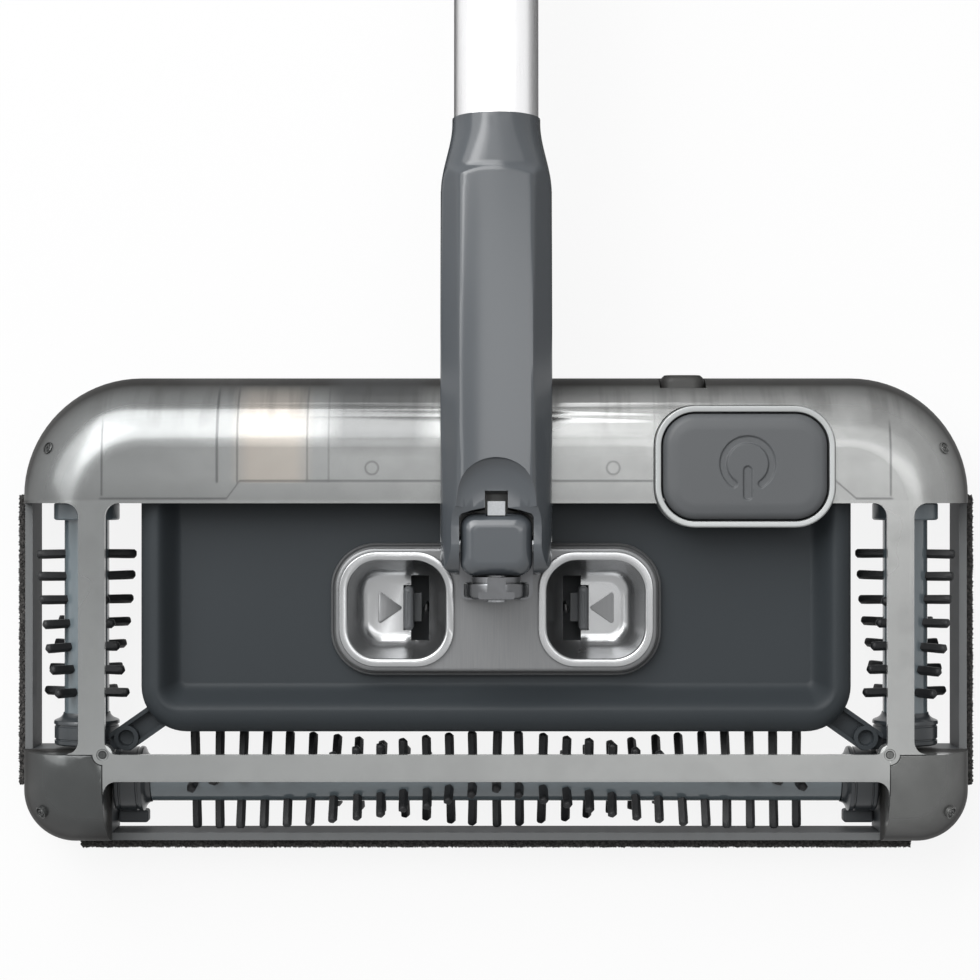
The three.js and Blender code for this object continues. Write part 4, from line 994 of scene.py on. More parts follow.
def strut():
    """A channel along +X that is turned into the line from the panel to the corner."""
    run = arm_end - arm_start
    channel_low = ARM_HIGH - CHANNEL_DEPTH
    arm = block("strut", -2, run.length + 4, -ARM_HALF, ARM_HALF, ARM_LOW, ARM_HIGH)
    arm = cut(arm, block(
        "channel", -5, run.length + 9, -CHANNEL_HALF, CHANNEL_HALF, channel_low, ARM_HIGH + 5))
    turn = Matrix.Rotation(math.atan2(run.y, run.x), 4, "Z")
    arm.data.transform(Matrix.Translation(arm_start * MM) @ turn)
    arm = join(arm, rod("hub_post", HUB, "z", ARM_LOW, ARM_HIGH + 0.8, hub))
    dip = turned("hub_dip", HUB_DIP, "z", hub)
    arm = cut(arm, dip, block("beyond", corner_x - GAP, FAR, -FAR, FAR, 0, FAR))
    return cut(arm, block("before", -FAR, FAR, -FAR, band_front + 0.2, 0, FAR))


dish_room = loft("dish_room", [(dish_outline(0), FLOOR), (dish_outline(1), RIM), (dish_outline(1), RIM + 9)])
arm = cut(strut(), dish_room)
other_arm = mirrored("other_arm", arm)
print("strut:", round((arm_end - arm_start).length, 1), "mm long")

# %% Openings in the panel
WELL_HALF = 19.7
WELL_CORNER = 12.8
well_box = Span("finger_well_right")


def well_outline(drawn_in):
    """A finger well from above; its corners get tighter as it is drawn in."""
    half = WELL_HALF - drawn_in
    corner = max(WELL_CORNER - 0.75 * drawn_in, 2)
    return rounded_rect(
        well_box.x - half, well_box.x + half, well_box.y - half, well_box.y + half, corner)


well_hole = slab("well_hole", well_outline(2.2), FLOOR - 8, FLOOR + 3)
other_hole = mirrored("other_hole", well_hole)
bezel_room = slab("bezel_room", bezel_outline(GAP), bezel.z0 - GAP, RIM + 8)
rear_room = block("rear_room", -FAR, FAR, panel_rear, FAR, 0, FAR)
panel = join(cut(panel, rear_room), arm, other_arm)
panel = cut(panel, well_hole, other_hole, bezel_room)
fit(smooth(rounded(panel, 0.3, angle=50)), "head", "charcoal", charcoal_finish, "centre_panel")

# %% [markdown]
# ## The brushed plate and its finger wells
# A thin plate with a beaded edge lies in the dish. Its grain runs from front to rear. Two satin-silver
# bowls drop through it: a flat ring, a rounded inner edge, a steep wall and a wide fillet into the floor.
# Each wall closes on itself through its under side. A slot lets the release tab through, and a raised
# arrow points the way to push it.

# %% The plate
PLATE_CORNER = 15.5


def plate_outline(drawn_in):
    """The plate from above."""
    x0, x1, y0, y1 = plate.x0 + drawn_in, plate.x1 - drawn_in, plate.y0 + drawn_in, plate.y1 - drawn_in
    return rounded_rect(x0, x1, y0, y1, PLATE_CORNER - drawn_in)


plate_edge = [
    (0, 0), (0, 2), (0.15, 2.5), (0.5, 2.75), (0.85, 2.6), (1.1, 2.2), (1.4, 2.1), (1.7, 2.3), (1.75, 4.9),
    (1.9, 5.4), (2.3, 5.65), (2.8, plate.z1 - plate.z0)]
plate_body = loft("well_plate_dressed", [(plate_outline(d), plate.z0 + z) for d, z in plate_edge])
plate_hole = slab("plate_hole", well_outline(2.4), 20, 60)
plate_twin = mirrored("plate_twin", plate_hole)
plate_body = smooth(rounded(cut(plate_body, plate_hole, plate_twin), 0.15, angle=60))
fit(plate_body, "head", "brushed_plate", plate_finish, "well_plate")

# %% The bowls
latch_box = Span("release_latch_right")
well_top = well_box.z1
well_floor = well_top - 13.4
bowl_inside = [
    (10.8, -13.2), (9.3, -12.95), (7.9, -12.2), (6.6, -10.9), (5.6, -9.2), (4.7, -7), (3.9, -4.5),
    (3.2, -2.2), (2.9, -0.9), (2.7, -0.4), (2.35, -0.1), (1.9, 0), (0.5, 0), (0.15, -0.1), (0, -0.4)]
bowl_underside = [
    (0, -1.2), (2.3, -1.2), (2.4, -2.5), (3, -5), (3.8, -7.8), (4.8, -10.4), (6, -12.4), (8, -13.9),
    (10.8, -14.3)]
SLOT_X = (23.3, 29.6)
SLOT_HALF_LENGTH = 11.3
TAB_X = (28.7, 31.9)
TAB_HALF = 7.6


def bowl(name):
    """A finger well with the slot that lets the release tab through."""
    body = loft(name, [(well_outline(d), well_top + z) for d, z in bowl_inside + bowl_underside])
    y, top = well_box.y, well_top - 9
    slot = block("slot", *SLOT_X, y - SLOT_HALF_LENGTH, y + SLOT_HALF_LENGTH, 0, top)
    room = TAB_HALF + GAP
    tab_room = block("tab_room", SLOT_X[1] - 1, 32.3, y - room, y + room, 0, top)
    return smooth(rounded(cut(body, slot, tab_room), 0.2, angle=50))


def arrow(name):
    """A raised triangle with round corners on the floor of the well."""
    tip, tail, half, corner = 32.9, 40.2, 4.5, 0.8
    slope = math.degrees(math.atan2(half, tail - tip))
    outline = [
        *arc(tip + corner, well_box.y, corner, 90 + slope, 270 - slope, 6),
        *arc(tail, well_box.y - half, corner, 270 - slope, 360, 6),
        *arc(tail, well_box.y + half, corner, 0, 90 + slope, 6)]
    return smooth(rounded(slab(name, outline, well_floor, well_floor + 0.75), 0.2))


right_bowl, right_arrow = bowl("bowl_right"), arrow("arrow_right")
left_bowl, left_arrow = mirrored("bowl_left", right_bowl), mirrored("arrow_left", right_arrow)
for side, made, pointer in (("right", right_bowl, right_arrow), ("left", left_bowl, left_arrow)):
    fit(made, "head", "satin_silver", silver_finish, f"finger_well_{side}")
    fit(pointer, "head", "brushed_plate", plate_finish)


# %% The release tabs, on sliding bars
BAR_HALF = 5
BAR_Z = (17.4, 20.6)
HOOK = 4


def release_tab(name):
    """The thumb tab stands on its bar; the bar's far end turns down into the hook that holds the tray."""
    x0, x1 = TAB_X
    y, low, top = latch_box.y, latch_box.z0, latch_box.z1
    levels = [(0, low + 9), (0, top - 1.1), (0.35, top - 0.4), (1.0, top)]
    tab = loft(name, [
        (rounded_rect(x0 + d, x1 - d, y - TAB_HALF + d, y + TAB_HALF - d, max(1.2 - d, 0.2), steps=6), z)
        for d, z in levels])
    groove = block("groove", x0 + 1.3, x0 + 1.9, y - 5.6, y + 5.6, top - 0.3, FAR)
    bar = block("bar", latch_box.x0, latch_box.x1, y - BAR_HALF, y + BAR_HALF, *BAR_Z)
    hook = block("hook", latch_box.x1 - HOOK, latch_box.x1, y - BAR_HALF, y + BAR_HALF, low, low + 10)
    return smooth(rounded(join(cut(tab, groove), bar, hook), 0.2))


right_tab = release_tab("release_tab_right")
left_tab = mirrored("release_tab_left", right_tab)
fit(right_tab, "latch_right", "charcoal", pedal_finish, "release_latch_right")
fit(left_tab, "latch_left", "charcoal", pedal_finish, "release_latch_left")

# %% [markdown]
# ## The power pedal and its bezel
# The bezel is a ring that stands out of the hump. Its section is a closed run of outlines, up the
# outside, over a flat top with soft edges and down the inside. The pedal is a hollow cap with a soft
# bevel, so it can sink round the switch. The power sign is a groove: an open ring with round ends and a
# bar, cut 0.7 mm deep with sloping sides and rounded with the other edges.

# %% Bezel
bezel_section = [
    (0, bezel.z0), (0, bezel.z1 - 0.7), (0.08, bezel.z1 - 0.35), (0.3, bezel.z1 - 0.08), (0.6, bezel.z1),
    (1.95, bezel.z1 - 0.1), (2.15, bezel.z1 - 0.25), (BEZEL_WIDTH, bezel.z1 - 0.7), (BEZEL_WIDTH, bezel.z0)]
bezel_levels = [(bezel_outline(-d), z) for d, z in bezel_section]
bezel_ring = loft("pedal_bezel_dressed", bezel_levels, ring_closed=True)
fit(smooth(bezel_ring, 60), "head", "satin_silver", bezel_finish, "pedal_bezel")

# %% The power sign
PEDAL_CORNER = 11
SIGN_RADIUS = 8.25
SIGN_GAP = 35
SIGN_SECTION = ((0.75, -0.7), (1.05, -0.5), (1.45, 0), (1.45, 1))


def pedal_outline(drawn_in):
    """The pedal from above."""
    x0, x1, y0, y1 = pedal.x0 + drawn_in, pedal.x1 - drawn_in, pedal.y0 + drawn_in, pedal.y1 - drawn_in
    return rounded_rect(x0, x1, y0, y1, PEDAL_CORNER - drawn_in, steps=14)


def power_sign(top):
    """The groove's two cutters, an open ring and a bar; both have round ends and sloping sides."""
    x, y = pedal.x + 0.6, pedal.y + 0.9
    radius = SIGN_RADIUS
    low, high = -90 + SIGN_GAP, 270 - SIGN_GAP
    ends = [arc(x, y, radius, a, a, 1)[0] for a in (low, high)]

    def open_ring(half):
        """An arc as wide as twice half, with round ends."""
        return [
            *arc(x, y, radius + half, low, high, 40),
            *arc(*ends[1], half, high, high + 180, 8)[1:-1],
            *reversed(arc(x, y, radius - half, low, high, 40)),
            *arc(*ends[0], half, low + 180, low + 360, 8)[1:-1]]

    def bar(half):
        """An upright bar with round ends."""
        return rounded_rect(x - half, x + half, y - 10.8 - half, y - 2.2 + half, half * 0.99, steps=8)

    return [
        loft("groove", [(shape(half + extra), top + z) for half, z in SIGN_SECTION])
        for shape, extra in ((open_ring, 0), (bar, 0.2))]


print("power sign:", 2 * SIGN_RADIUS, "mm across")

# %% The pedal
PEDAL_BEVEL = 3.2
PEDAL_CROWN = 0.35
PEDAL_WALL = 2
BEVEL_STEPS = 7
pedal_low = pedal.z1 - 9
ceiling = pedal.z1 - PEDAL_BEVEL
spring_box = Span("pedal_spring")

pedal_levels = [
    (pedal_outline(PEDAL_BEVEL + 2.6), pedal.z1), (pedal_outline(PEDAL_BEVEL + 1), pedal.z1 - 0.12)]
for k in range(BEVEL_STEPS, -1, -1):
    angle = math.radians(90 * k / BEVEL_STEPS)
    drawn_in = PEDAL_BEVEL * (1 - math.cos(angle))
    pedal_levels.append((pedal_outline(drawn_in), ceiling + (PEDAL_BEVEL - PEDAL_CROWN) * math.sin(angle)))
pedal_levels += [(pedal_outline(0), pedal_low), (pedal_outline(PEDAL_WALL), pedal_low)]
pedal_levels += [(pedal_outline(PEDAL_WALL), ceiling - 1), (pedal_outline(PEDAL_WALL + 1), ceiling)]
pedal_cap = loft("power_pedal_dressed", pedal_levels)
pedal_cap = cut(pedal_cap, *power_sign(pedal.z1))
post = rod("pedal_post", 3.2, "z", pedal.z0, ceiling + 0.5, (spring_box.x, spring_box.y, 0), 32)
pedal_cap = merged("power_pedal_dressed", [smooth(rounded(pedal_cap, 0.22, angle=45)), smooth(post)])
fit(pedal_cap, "pedal", "pedal_grey", pedal_finish, "power_pedal")

# %% [markdown]
# ## The two-way joint
# A foot on the plate carries two lugs with a pin along the head: the knuckle rolls on it. A chromed
# C-shaped ring and a key close the front. The knuckle is a rounded block, a loft of rounded rectangles
# that grow and shrink along quarter circles; the handle's fork tilts on its cross pin.

# %% Joint base
base_box = Span("joint_base")
ring_box = Span("swivel_ring")
knuckle = Span("knuckle")
foot_top = base_box.z0 + 3.2
lug_radius = base_box.z1 - pivot.z
LUG_FRONT = 4.1
LUG_REAR = 11.6

foot_outline = rounded_rect(base_box.x0, base_box.x1, base_box.y0, base_box.y1, 3)
foot = slab("joint_base_dressed", foot_outline, base_box.z0, foot_top)
column = block("column", -lug_radius, lug_radius, LUG_FRONT, LUG_REAR, foot_top - 1, pivot.z)
lug = rod("lug", lug_radius, "y", LUG_FRONT, LUG_REAR, (0, 0, pivot.z), 64)
foot = join(foot, column, lug)
foot = cut(foot, rod("pin_room", 3.55, "y", LUG_FRONT - 5, LUG_REAR + 5, (0, 0, pivot.z), 32))
fit(smooth(rounded(foot, 0.5)), "head", "charcoal", bracket_finish, "joint_base")

# %% Swivel ring and key
ring_outer = ring_box.x1
ring_inner = lug_radius + GAP
ring_front = ring_box.y0
ring_section = [
    (ring_inner, ring_front + 0.6), (ring_inner + 0.4, ring_front + 0.1), (ring_outer - 0.9, ring_front),
    (ring_outer - 0.25, ring_front + 0.3), (ring_outer, ring_front + 1), (ring_outer, ring_front + 4.4),
    (ring_outer - 0.3, ring_front + 5), (ring_inner, ring_front + 5.2)]
ring = turned("swivel_ring_dressed", ring_section, "y", (0, 0, pivot.z), 96)
ring = rounded(cut(ring, block("below", -ring_inner, ring_inner, -9, 30, 0, pivot.z)), 0.2)
key_low, key_high = ring_box.z1 - 1.7, ring_box.z1
key = slab("key", rounded_rect(-3, 3, ring_front + 1, LUG_REAR, 0.5), key_low, key_high)
crossbar = slab("crossbar", rounded_rect(-6, 6, ring_front + 0.05, ring_front + 2.4, 0.6), key_low, key_high)
ring = merged("swivel_ring_dressed", [smooth(ring, 50), smooth(rounded(join(key, crossbar), 0.3))])
fit(ring, "head", "satin_silver", chrome_finish, "swivel_ring")

# %% Knuckle
ROUND = 4.6
KNUCKLE_STEPS = 8
PITCH_BORE = 3.15


def knuckle_level(angle, side):
    """An outline and its height, above the middle for side 1 and below it for side -1."""
    d = ROUND * (1 - math.cos(math.radians(angle)))
    height = (knuckle.z1 - knuckle.z0) / 2 - ROUND + ROUND * math.sin(math.radians(angle))
    corner = max(ROUND - 0.55 * d, 1)
    outline = rounded_rect(knuckle.x0 + d, knuckle.x1 - d, knuckle.y0 + d, knuckle.y1 - d, corner, steps=10)
    return outline, knuckle.z + side * height


turns = [90 * k / KNUCKLE_STEPS for k in range(KNUCKLE_STEPS + 1)]
knuckle_levels = [knuckle_level(a, -1) for a in reversed(turns)] + [knuckle_level(a, 1) for a in turns]
knuckle_body = loft("knuckle_dressed", knuckle_levels)
tongue = Span("knuckle_tongue")
cross_pin = Span("pitch_pin")
tongue_room = block(
    "tongue_room", tongue.x0 - GAP, tongue.x1 + GAP, knuckle.y1 - 4, FAR, tongue.z0 - GAP, tongue.z1 + GAP)
knuckle_body = cut(
    knuckle_body,
    rod("roll_bore", 3.5, "y", knuckle.y0 - 5, pivot.y1 + GAP, (0, 0, pivot.z), 32),
    rod("pitch_bore", PITCH_BORE, "x", -20, 20, (0, cross_pin.y, cross_pin.z), 32),
    tongue_room)
fit(smooth(rounded(knuckle_body, 0.25, angle=55)), "yoke", "slate", slate_finish, "knuckle")

# %% [markdown]
# ## The neck
# The neck is a polished slate-grey moulding. Its section is worked out in polar form from a few limits: a
# half-round underside, upright sides, a slightly crowned flat on top and two chamfers. At each angle it
# takes the nearest limit, with a soft change from one to the next. Toward the tube the circle shrinks
# along an S-curve and draws the sides in. A second, rounder section sinks there until it lies nearest, so
# it cuts the flat off in an arch and then grows into the collar. The fork, the slot and the arched dip
# are cut from the loft, and the whole is tipped to the floor.

# %% Section of the neck
GRIP_RADIUS = 16.2
GRIP_END = 1033
tip = Vector((0, cross_pin.y, cross_pin.z))
slope = math.asin((tip.z - GRIP_RADIUS - 0.2) / GRIP_END)
tilt = Matrix.Translation(tip * MM) @ Matrix.Rotation(-slope, 4, "X")
FLAT_TOP = 15.5
FLAT_HALF = 11.4
CROWN = 0.75
CROWN_LOWEST = 0.5
CHAMFER = 5
COLLAR = 14.8
STRAIGHT_END = 118
COLLAR_START = 141.5
NECK_END = 144.2
ARCH_START = 118.4
ARCH_LENGTH = 8
BEHIND_ARCH = 14.6
ABOVE_FLAT = 3
NECK_SIDES = 144


def share(value, start, end):
    """How far value has come from start to end, held between 0 and 1."""
    return min(max((value - start) / (end - start), 0), 1)


def nearest(limits, softness):
    """The smallest of the limits, with its changes from one to the next rounded off."""
    low = min(limits)
    return low - softness * math.log(sum(math.exp((low - value) / softness) for value in limits))


def neck_softness(along):
    """The edges of the flat get rounder toward the fork and toward the tube."""
    return 0.09 + 0.5 * soft_step(share(along, 88, 114)) + 1.3 * soft_step(share(-along, -34, -8))


def neck_radius_at(angle, along):
    """The distance from the neck's middle line to its surface."""
    c, s = abs(math.cos(angle)), math.sin(angle)
    t = share(along, STRAIGHT_END, COLLAR_START)
    narrow = neck_radius + (COLLAR - neck_radius) * soft_step(t)
    if s <= 0:
        return narrow
    # The crown is only worked out where the flat can be the nearest limit.
    sag = CROWN * (FLAT_TOP / s * c / FLAT_HALF) ** 2 if s > CROWN_LOWEST else 2
    normal = Vector((FLAT_TOP - CHAMFER, neck_radius - FLAT_HALF)).normalized()
    chamfer_reach = normal.dot(Vector((neck_radius, CHAMFER)))
    limits = [narrow / max(c, 1e-6), (FLAT_TOP - sag) / s, chamfer_reach / (normal.x * c + normal.y * s)]
    body = nearest(limits, neck_softness(along))
    fall = soft_step(share(along, ARCH_START, ARCH_START + ARCH_LENGTH))
    if fall <= 0:
        return body
    sunk = (FLAT_TOP + ABOVE_FLAT - BEHIND_ARCH) * fall
    height = FLAT_TOP + ABOVE_FLAT - sunk + (COLLAR - BEHIND_ARCH) * t ** 2
    power = 2.6 - 0.6 * soft_step(t)
    behind = ((c / narrow) ** power + (s / height) ** power) ** (-1 / power)
    return nearest([body, behind], 0.1)


def neck_ring(along):
    """One section of the neck, as a ring of points."""
    ring = []
    for k in range(NECK_SIDES):
        angle = 2 * math.pi * k / NECK_SIDES
        r = neck_radius_at(angle, along)
        ring.append((r * math.cos(angle), along, r * math.sin(angle)))
    return ring


print("neck sections:", NECK_SIDES, "points; the handle slopes by", round(math.degrees(slope), 2), "degrees")

# %% The neck's loft
PRONG = 10.2
STRAIGHT_STEPS = 6
ARCH_STEPS = 48
stations = [-PRONG - 1, *[STRAIGHT_END * k / STRAIGHT_STEPS for k in range(STRAIGHT_STEPS + 1)]]
stations += [
    STRAIGHT_END + (COLLAR_START - STRAIGHT_END) * k / ARCH_STEPS for k in range(1, ARCH_STEPS + 1)]
stations += [NECK_END - 1.5]
neck_body = skin("neck_dressed", [neck_ring(y) for y in stations])
print("neck:", len(stations), "sections")

# %% The neck's forms and cuts
FORK = 12.3
PAST = 30
above = neck_radius + 1
side = [
    *arc(0, 0, PRONG, 90, 270, 24), (6, -PRONG), (9, -neck_radius * 0.62), (13, -neck_radius * 0.8),
    (19, -above), (NECK_END + 1, -above), (NECK_END + 1, above), (17, above), (12, neck_radius * 0.64),
    (9, PRONG + 0.4), (6, PRONG)]
TO_SIDE_VIEW = Matrix(((0, 0, 1, 0), (1, 0, 0, 0), (0, 1, 0, 0), (0, 0, 0, 1)))
side_form = slab("side_form", side, -PAST, PAST)
side_form.data.transform(TO_SIDE_VIEW)
plan_outline = rounded_rect(-neck_radius, neck_radius, -PRONG, NECK_END + 1, 6, 1)
plan_form = slab("plan_form", plan_outline, -PAST, PAST)

DIP_RADIUS = 14.4
DIP_END = 28.4
dip_outline = [
    *arc(0, DIP_END - DIP_RADIUS, DIP_RADIUS, 0, 180, 48), (-DIP_RADIUS, -PAST), (DIP_RADIUS, -PAST)]
dip_section = [
    (12.5, -3.7), (9.5, -3.6), (6.5, -3.35), (4, -2.9), (2.2, -2.2), (1, -1.3), (0.3, -0.5), (0, 0.2),
    (-0.6, 5)]


def dip_level(drawn_in):
    """The dip's outline, drawn in at its round end and a little at its sides."""
    narrower = 1 - drawn_in / 60
    return [(x * narrower, y - drawn_in if y > 0 else y) for x, y in dip_outline]


arch_dip = loft("arch_dip", [(dip_level(d), FLAT_TOP + z) for d, z in dip_section])
bore = rod("bore", 13, "y", 27, NECK_END + 5, (0, 0, 0), 64)
seat = rod("seat", 14.35, "y", 121.7, NECK_END + 5, (0, 0, 0), 64)
pin_room = rod("pin_room", PITCH_BORE, "x", -PAST, PAST, (0, 0, 0), 32)
web_side = [(FORK, -PAST), (FORK, 8.8), (11.6, 9.9), (8, 11), (4, 11.8)]
web_outline = [(-FORK, -PAST), *web_side, *[(-x, y) for x, y in reversed(web_side[1:])]]
fork_room = slab("fork_room", web_outline, -PAST, PAST)
swing_room = rod("swing_room", 13, "x", -FORK, FORK, (0, 0, 0), 64)
slot = block("slot", -3.8, 3.8, -PAST, 17.4, -PAST, PAST)
neck_body = common(neck_body, side_form, plan_form)
neck_body = cut(neck_body, fork_room, swing_room, slot, arch_dip, bore, seat, pin_room)
neck_body = smooth(rounded(neck_body, 0.4, 3, 62), 30)
neck_body.data.transform(tilt)
fit(neck_body, "handle", "slate", slate_finish, "neck")

# %% [markdown]
# ## Tubes, grip and end cap
# Three lengths of drawn tube plug into each other. Each one ends in a small chamfer, so a fine line marks
# the joint. The foam grip is turned with a slight swell and fine ribs, and the end cap has a slanted face
# with the hole to hang the sweeper by. Everything is made along +Y from the pivot and then tipped by the
# same slope as the neck.


# %% Handle pieces
def handle_piece(obj, slot_name, finish, *nodes):
    """Tips a piece that was made along +Y and fits it on the handle."""
    obj.data.transform(tilt)
    return fit(obj, "handle", slot_name, finish, *nodes)


TUBE = 14.2
TUBE_WALL = 1.2
TUBE_CHAMFER = 0.3
TUBE_END = 1026
TUBES = {"lower": (122, 420), "middle": (420 + GAP, 690), "upper": (690 + GAP, TUBE_END)}


def tube(name, start, end):
    """A length of tube with a small chamfer at each end."""
    inner, edge, c = TUBE - TUBE_WALL, TUBE - TUBE_CHAMFER, TUBE_CHAMFER
    profile = [(inner, start), (edge, start), (TUBE, start + c), (TUBE, end - c), (edge, end), (inner, end)]
    return smooth(turned(name, profile, "y", (0, 0, 0), 96))


for name, ends in TUBES.items():
    handle_piece(tube(f"{name}_tube_dressed", *ends), "tube_silver", tube_finish, f"{name}_tube")

# %% Foam grip
GRIP_START = 905
GRIP_BORE = 14.35
RIBS = 36
RIB_DEPTH = 0.28
END_MARGIN = 4
middle_of_grip = (GRIP_START + GRIP_END) / 2
ribbed = GRIP_END - GRIP_START - 2 * END_MARGIN
grip_profile = [(GRIP_BORE, GRIP_START), (14.9, GRIP_START), (15.4, GRIP_START + 1.5)]
for k in range(RIBS + 1):
    along = GRIP_START + END_MARGIN + ribbed * k / RIBS
    swell = 15.6 + 0.6 * math.cos((along - middle_of_grip) / 42) ** 2
    groove = swell - RIB_DEPTH
    grip_profile += [(groove, along - 0.9), (swell, along - 0.3), (swell, along + 0.3), (groove, along + 0.9)]
grip_profile += [(15.4, GRIP_END - 1.5), (14.9, GRIP_END), (GRIP_BORE, GRIP_END)]
grip = smooth(turned("grip_dressed", grip_profile, "y", (0, 0, 0), 64))
handle_piece(grip, "grip_foam", foam_finish, "grip")

# %% End cap
cap_start = GRIP_END + 0.3
cap_profile = [
    (0, TUBE_END - 20), (12.8, TUBE_END - 20), (12.8, cap_start), (15.3, cap_start), (15.6, cap_start + 0.4),
    (15.6, cap_start + 4), (15.2, cap_start + 8), (14.2, cap_start + 14), (12.6, cap_start + 21),
    (11.8, cap_start + 23.6), (10.6, cap_start + 25.4), (8, cap_start + 26), (0, cap_start + 26)]
cap_body = turned("end_cap_dressed", cap_profile, "y", (0, 0, 0), 64)
cap_body = cut(cap_body, rod("hanging_hole", 5, "z", -30, 30, (0, cap_start + 15, 0), 40))
handle_piece(smooth(rounded(cap_body, 0.6, 3, 50)), "charcoal", charcoal_finish, "end_cap")

# %% [markdown]
# ## Bristles by Geometry Nodes
# Each brush carries four rows of bristle bundles that run round the core as a helix. One node tree sets
# them for all three brushes. It lays a line of points with no spacing, gives each its own place and turn
# worked out from its number, sets a bundle on each, and ends by realizing the copies. A bundle is a
# ten-sided rod whose sides go in and out like packed bristles and whose tip is round; a small random
# lean, from a fixed seed, keeps the rows alive.

# %% The tree for the tufts
TUFT_INPUTS = {
    "Tufts": 7, "Rows": 4, "Pitch": 8.1, "Start": 0.0, "Twist": 7.5, "Lead": 18.0, "Fold": 0,
    "Core Radius": 7.8, "Reach": 17.4, "Tuft Radius": 1.62, "Lean": 1.6, "Seed": 1}


def tree_with(name, inputs):
    """An empty geometry tree with named inputs; whole numbers make integer sockets."""
    tree = bpy.data.node_groups.new(name, "GeometryNodeTree")
    tree.interface.new_socket("Geometry", in_out="INPUT", socket_type="NodeSocketGeometry")
    tree.interface.new_socket("Geometry", in_out="OUTPUT", socket_type="NodeSocketGeometry")
    for key, value in inputs.items():
        kind = "NodeSocketInt" if isinstance(value, int) else "NodeSocketFloat"
        made = tree.interface.new_socket(key, in_out="INPUT", socket_type=kind)
        made.default_value = value
    net = Net(tree)
    start = tree.nodes.new("NodeGroupInput")
    wires = {s.name: Wire(net, s) for s in start.outputs if s.name}
    return tree, net, wires


def bundle(net, v):
    """One tuft along +Z, from inside the core to its round tip."""
    rod_node = net.node("GeometryNodeMeshCylinder", {"fill_type": "TRIANGLE_FAN"}, {
        "Vertices": 10, "Side Segments": 4, "Fill Segments": 1, "Radius": 1.0, "Depth": 1.0}, "Mesh")
    x, y, z = net.split(net.node("GeometryNodeInputPosition"))
    t = z + 0.5
    angle = net.maths("ARCTAN2", y, x)
    flute = 1 + 0.08 * net.maths("COSINE", angle * 5)
    width = v["Tuft Radius"] * MM * flute * (0.97 + 0.08 * t) * (1 - 0.45 * net.maths("POWER", t, 8.0))
    root = v["Core Radius"] - 2
    height = (root + (v["Reach"] - root) * (1 - (1 - t) * (1 - t))) * MM
    place = net.node("ShaderNodeCombineXYZ", {}, {"X": x * width, "Y": y * width, "Z": height})
    return net.node("GeometryNodeSetPosition", {}, {"Geometry": rod_node, "Position": place})


def tuft_tree():
    """Rows of tufts round +Z; Twist is the turn from one step to the next, and it changes sign at Fold."""
    tree, net, v = tree_with("bristle_rows", TUFT_INPUTS)
    line = net.node("GeometryNodeMeshLine", {"mode": "OFFSET"}, {
        "Count": v["Tufts"] * v["Rows"], "Offset": (0, 0, 0)})
    index = net.node("GeometryNodeInputIndex")
    step = net.maths("FLOOR", (index + 0.5) / v["Rows"])
    row = index - step * v["Rows"]
    along = (v["Start"] + step * v["Pitch"]) * MM
    place = net.node("ShaderNodeCombineXYZ", {}, {"Z": along})
    points = net.node("GeometryNodeSetPosition", {}, {"Geometry": line, "Position": place})
    turn = v["Lead"] + v["Twist"] * (step - v["Fold"]).size() + row * 360 / v["Rows"]

    def wander(offset):
        """A random number from -1 to 1 for each tuft, from a fixed seed."""
        return net.node("FunctionNodeRandomValue", {"data_type": "FLOAT"}, {
            "Min": -1.0, "Max": 1.0, "ID": index, "Seed": v["Seed"] + offset}, 1)

    lean = v["Lean"] * math.pi / 180
    angles = net.node("ShaderNodeCombineXYZ", {}, {
        "X": wander(0) * lean, "Y": math.pi / 2 + wander(1) * lean, "Z": turn * math.pi / 180})
    copies = net.node("GeometryNodeInstanceOnPoints", {}, {
        "Points": points, "Instance": bundle(net, v), "Rotation": angles, "Scale": (1, 1, 1)})
    real = net.node("GeometryNodeRealizeInstances", {}, {"Geometry": copies})
    done = net.node("GeometryNodeSetMaterial", {}, {"Geometry": real, "Material": bristle_finish})
    net.feed(tree.nodes.new("NodeGroupOutput").inputs["Geometry"], done)
    return tree


rows_tree = tuft_tree()
print("tuft tree:", len(rows_tree.nodes), "nodes")


# %% Running a tree
def grown(name, tree, values, source=None):
    """Runs a tree on an object and gives back the plain mesh that it makes."""
    obj = placed(name, source.data.copy() if source else bpy.data.meshes.new(name))
    step = obj.modifiers.new("grow", "NODES")
    step.node_group = tree
    sockets = {s.name: s.identifier for s in tree.interface.items_tree if s.in_out == "INPUT"}
    for key, value in values.items():
        step[sockets[key]] = value
    return baked(obj)


print("inputs of the tuft tree:", ", ".join(TUFT_INPUTS))

# %% [markdown]
# ## The three brushes
# A brush is made standing up, with its length along +Z, and then laid along the head by a matrix that
# only swaps the axes. The core is turned, with a stub and a thinner spindle at each end. The rows of the
# front brush twist in opposite senses on the two sides of its middle, so that they sweep the dirt
# inwards.

# %% How a brush is made and laid
CORE = 7.8
STUB = 3.5
SPINDLE = 2.3
AXIS_Z = 17.8


def swapped(x_to, y_to, z_to, place):
    """A matrix from the three directions that a brush's own X, Y and Z go to."""
    columns = Matrix((x_to, y_to, z_to)).transposed().to_4x4()
    return Matrix.Translation(Vector(place) * MM) @ columns


def core_profile(start, end, low_stub, low_tip, high_stub, high_tip):
    """The core from start to end, and the ends of its stubs and spindles on both sides."""
    c = 0.3
    low_end = [
        (0, low_tip), (SPINDLE - 0.2, low_tip), (SPINDLE, low_tip + c), (SPINDLE, low_stub),
        (STUB - c, low_stub), (STUB, low_stub + c)]
    middle = [
        (STUB, start), (CORE - 0.5, start), (CORE, start + 0.5), (CORE, end - 0.5), (CORE - 0.5, end),
        (STUB, end)]
    high_end = [
        (STUB, high_stub - c), (STUB - c, high_stub), (SPINDLE, high_stub), (SPINDLE, high_tip - c),
        (SPINDLE - 0.2, high_tip), (0, high_tip)]
    return low_end + middle + high_end


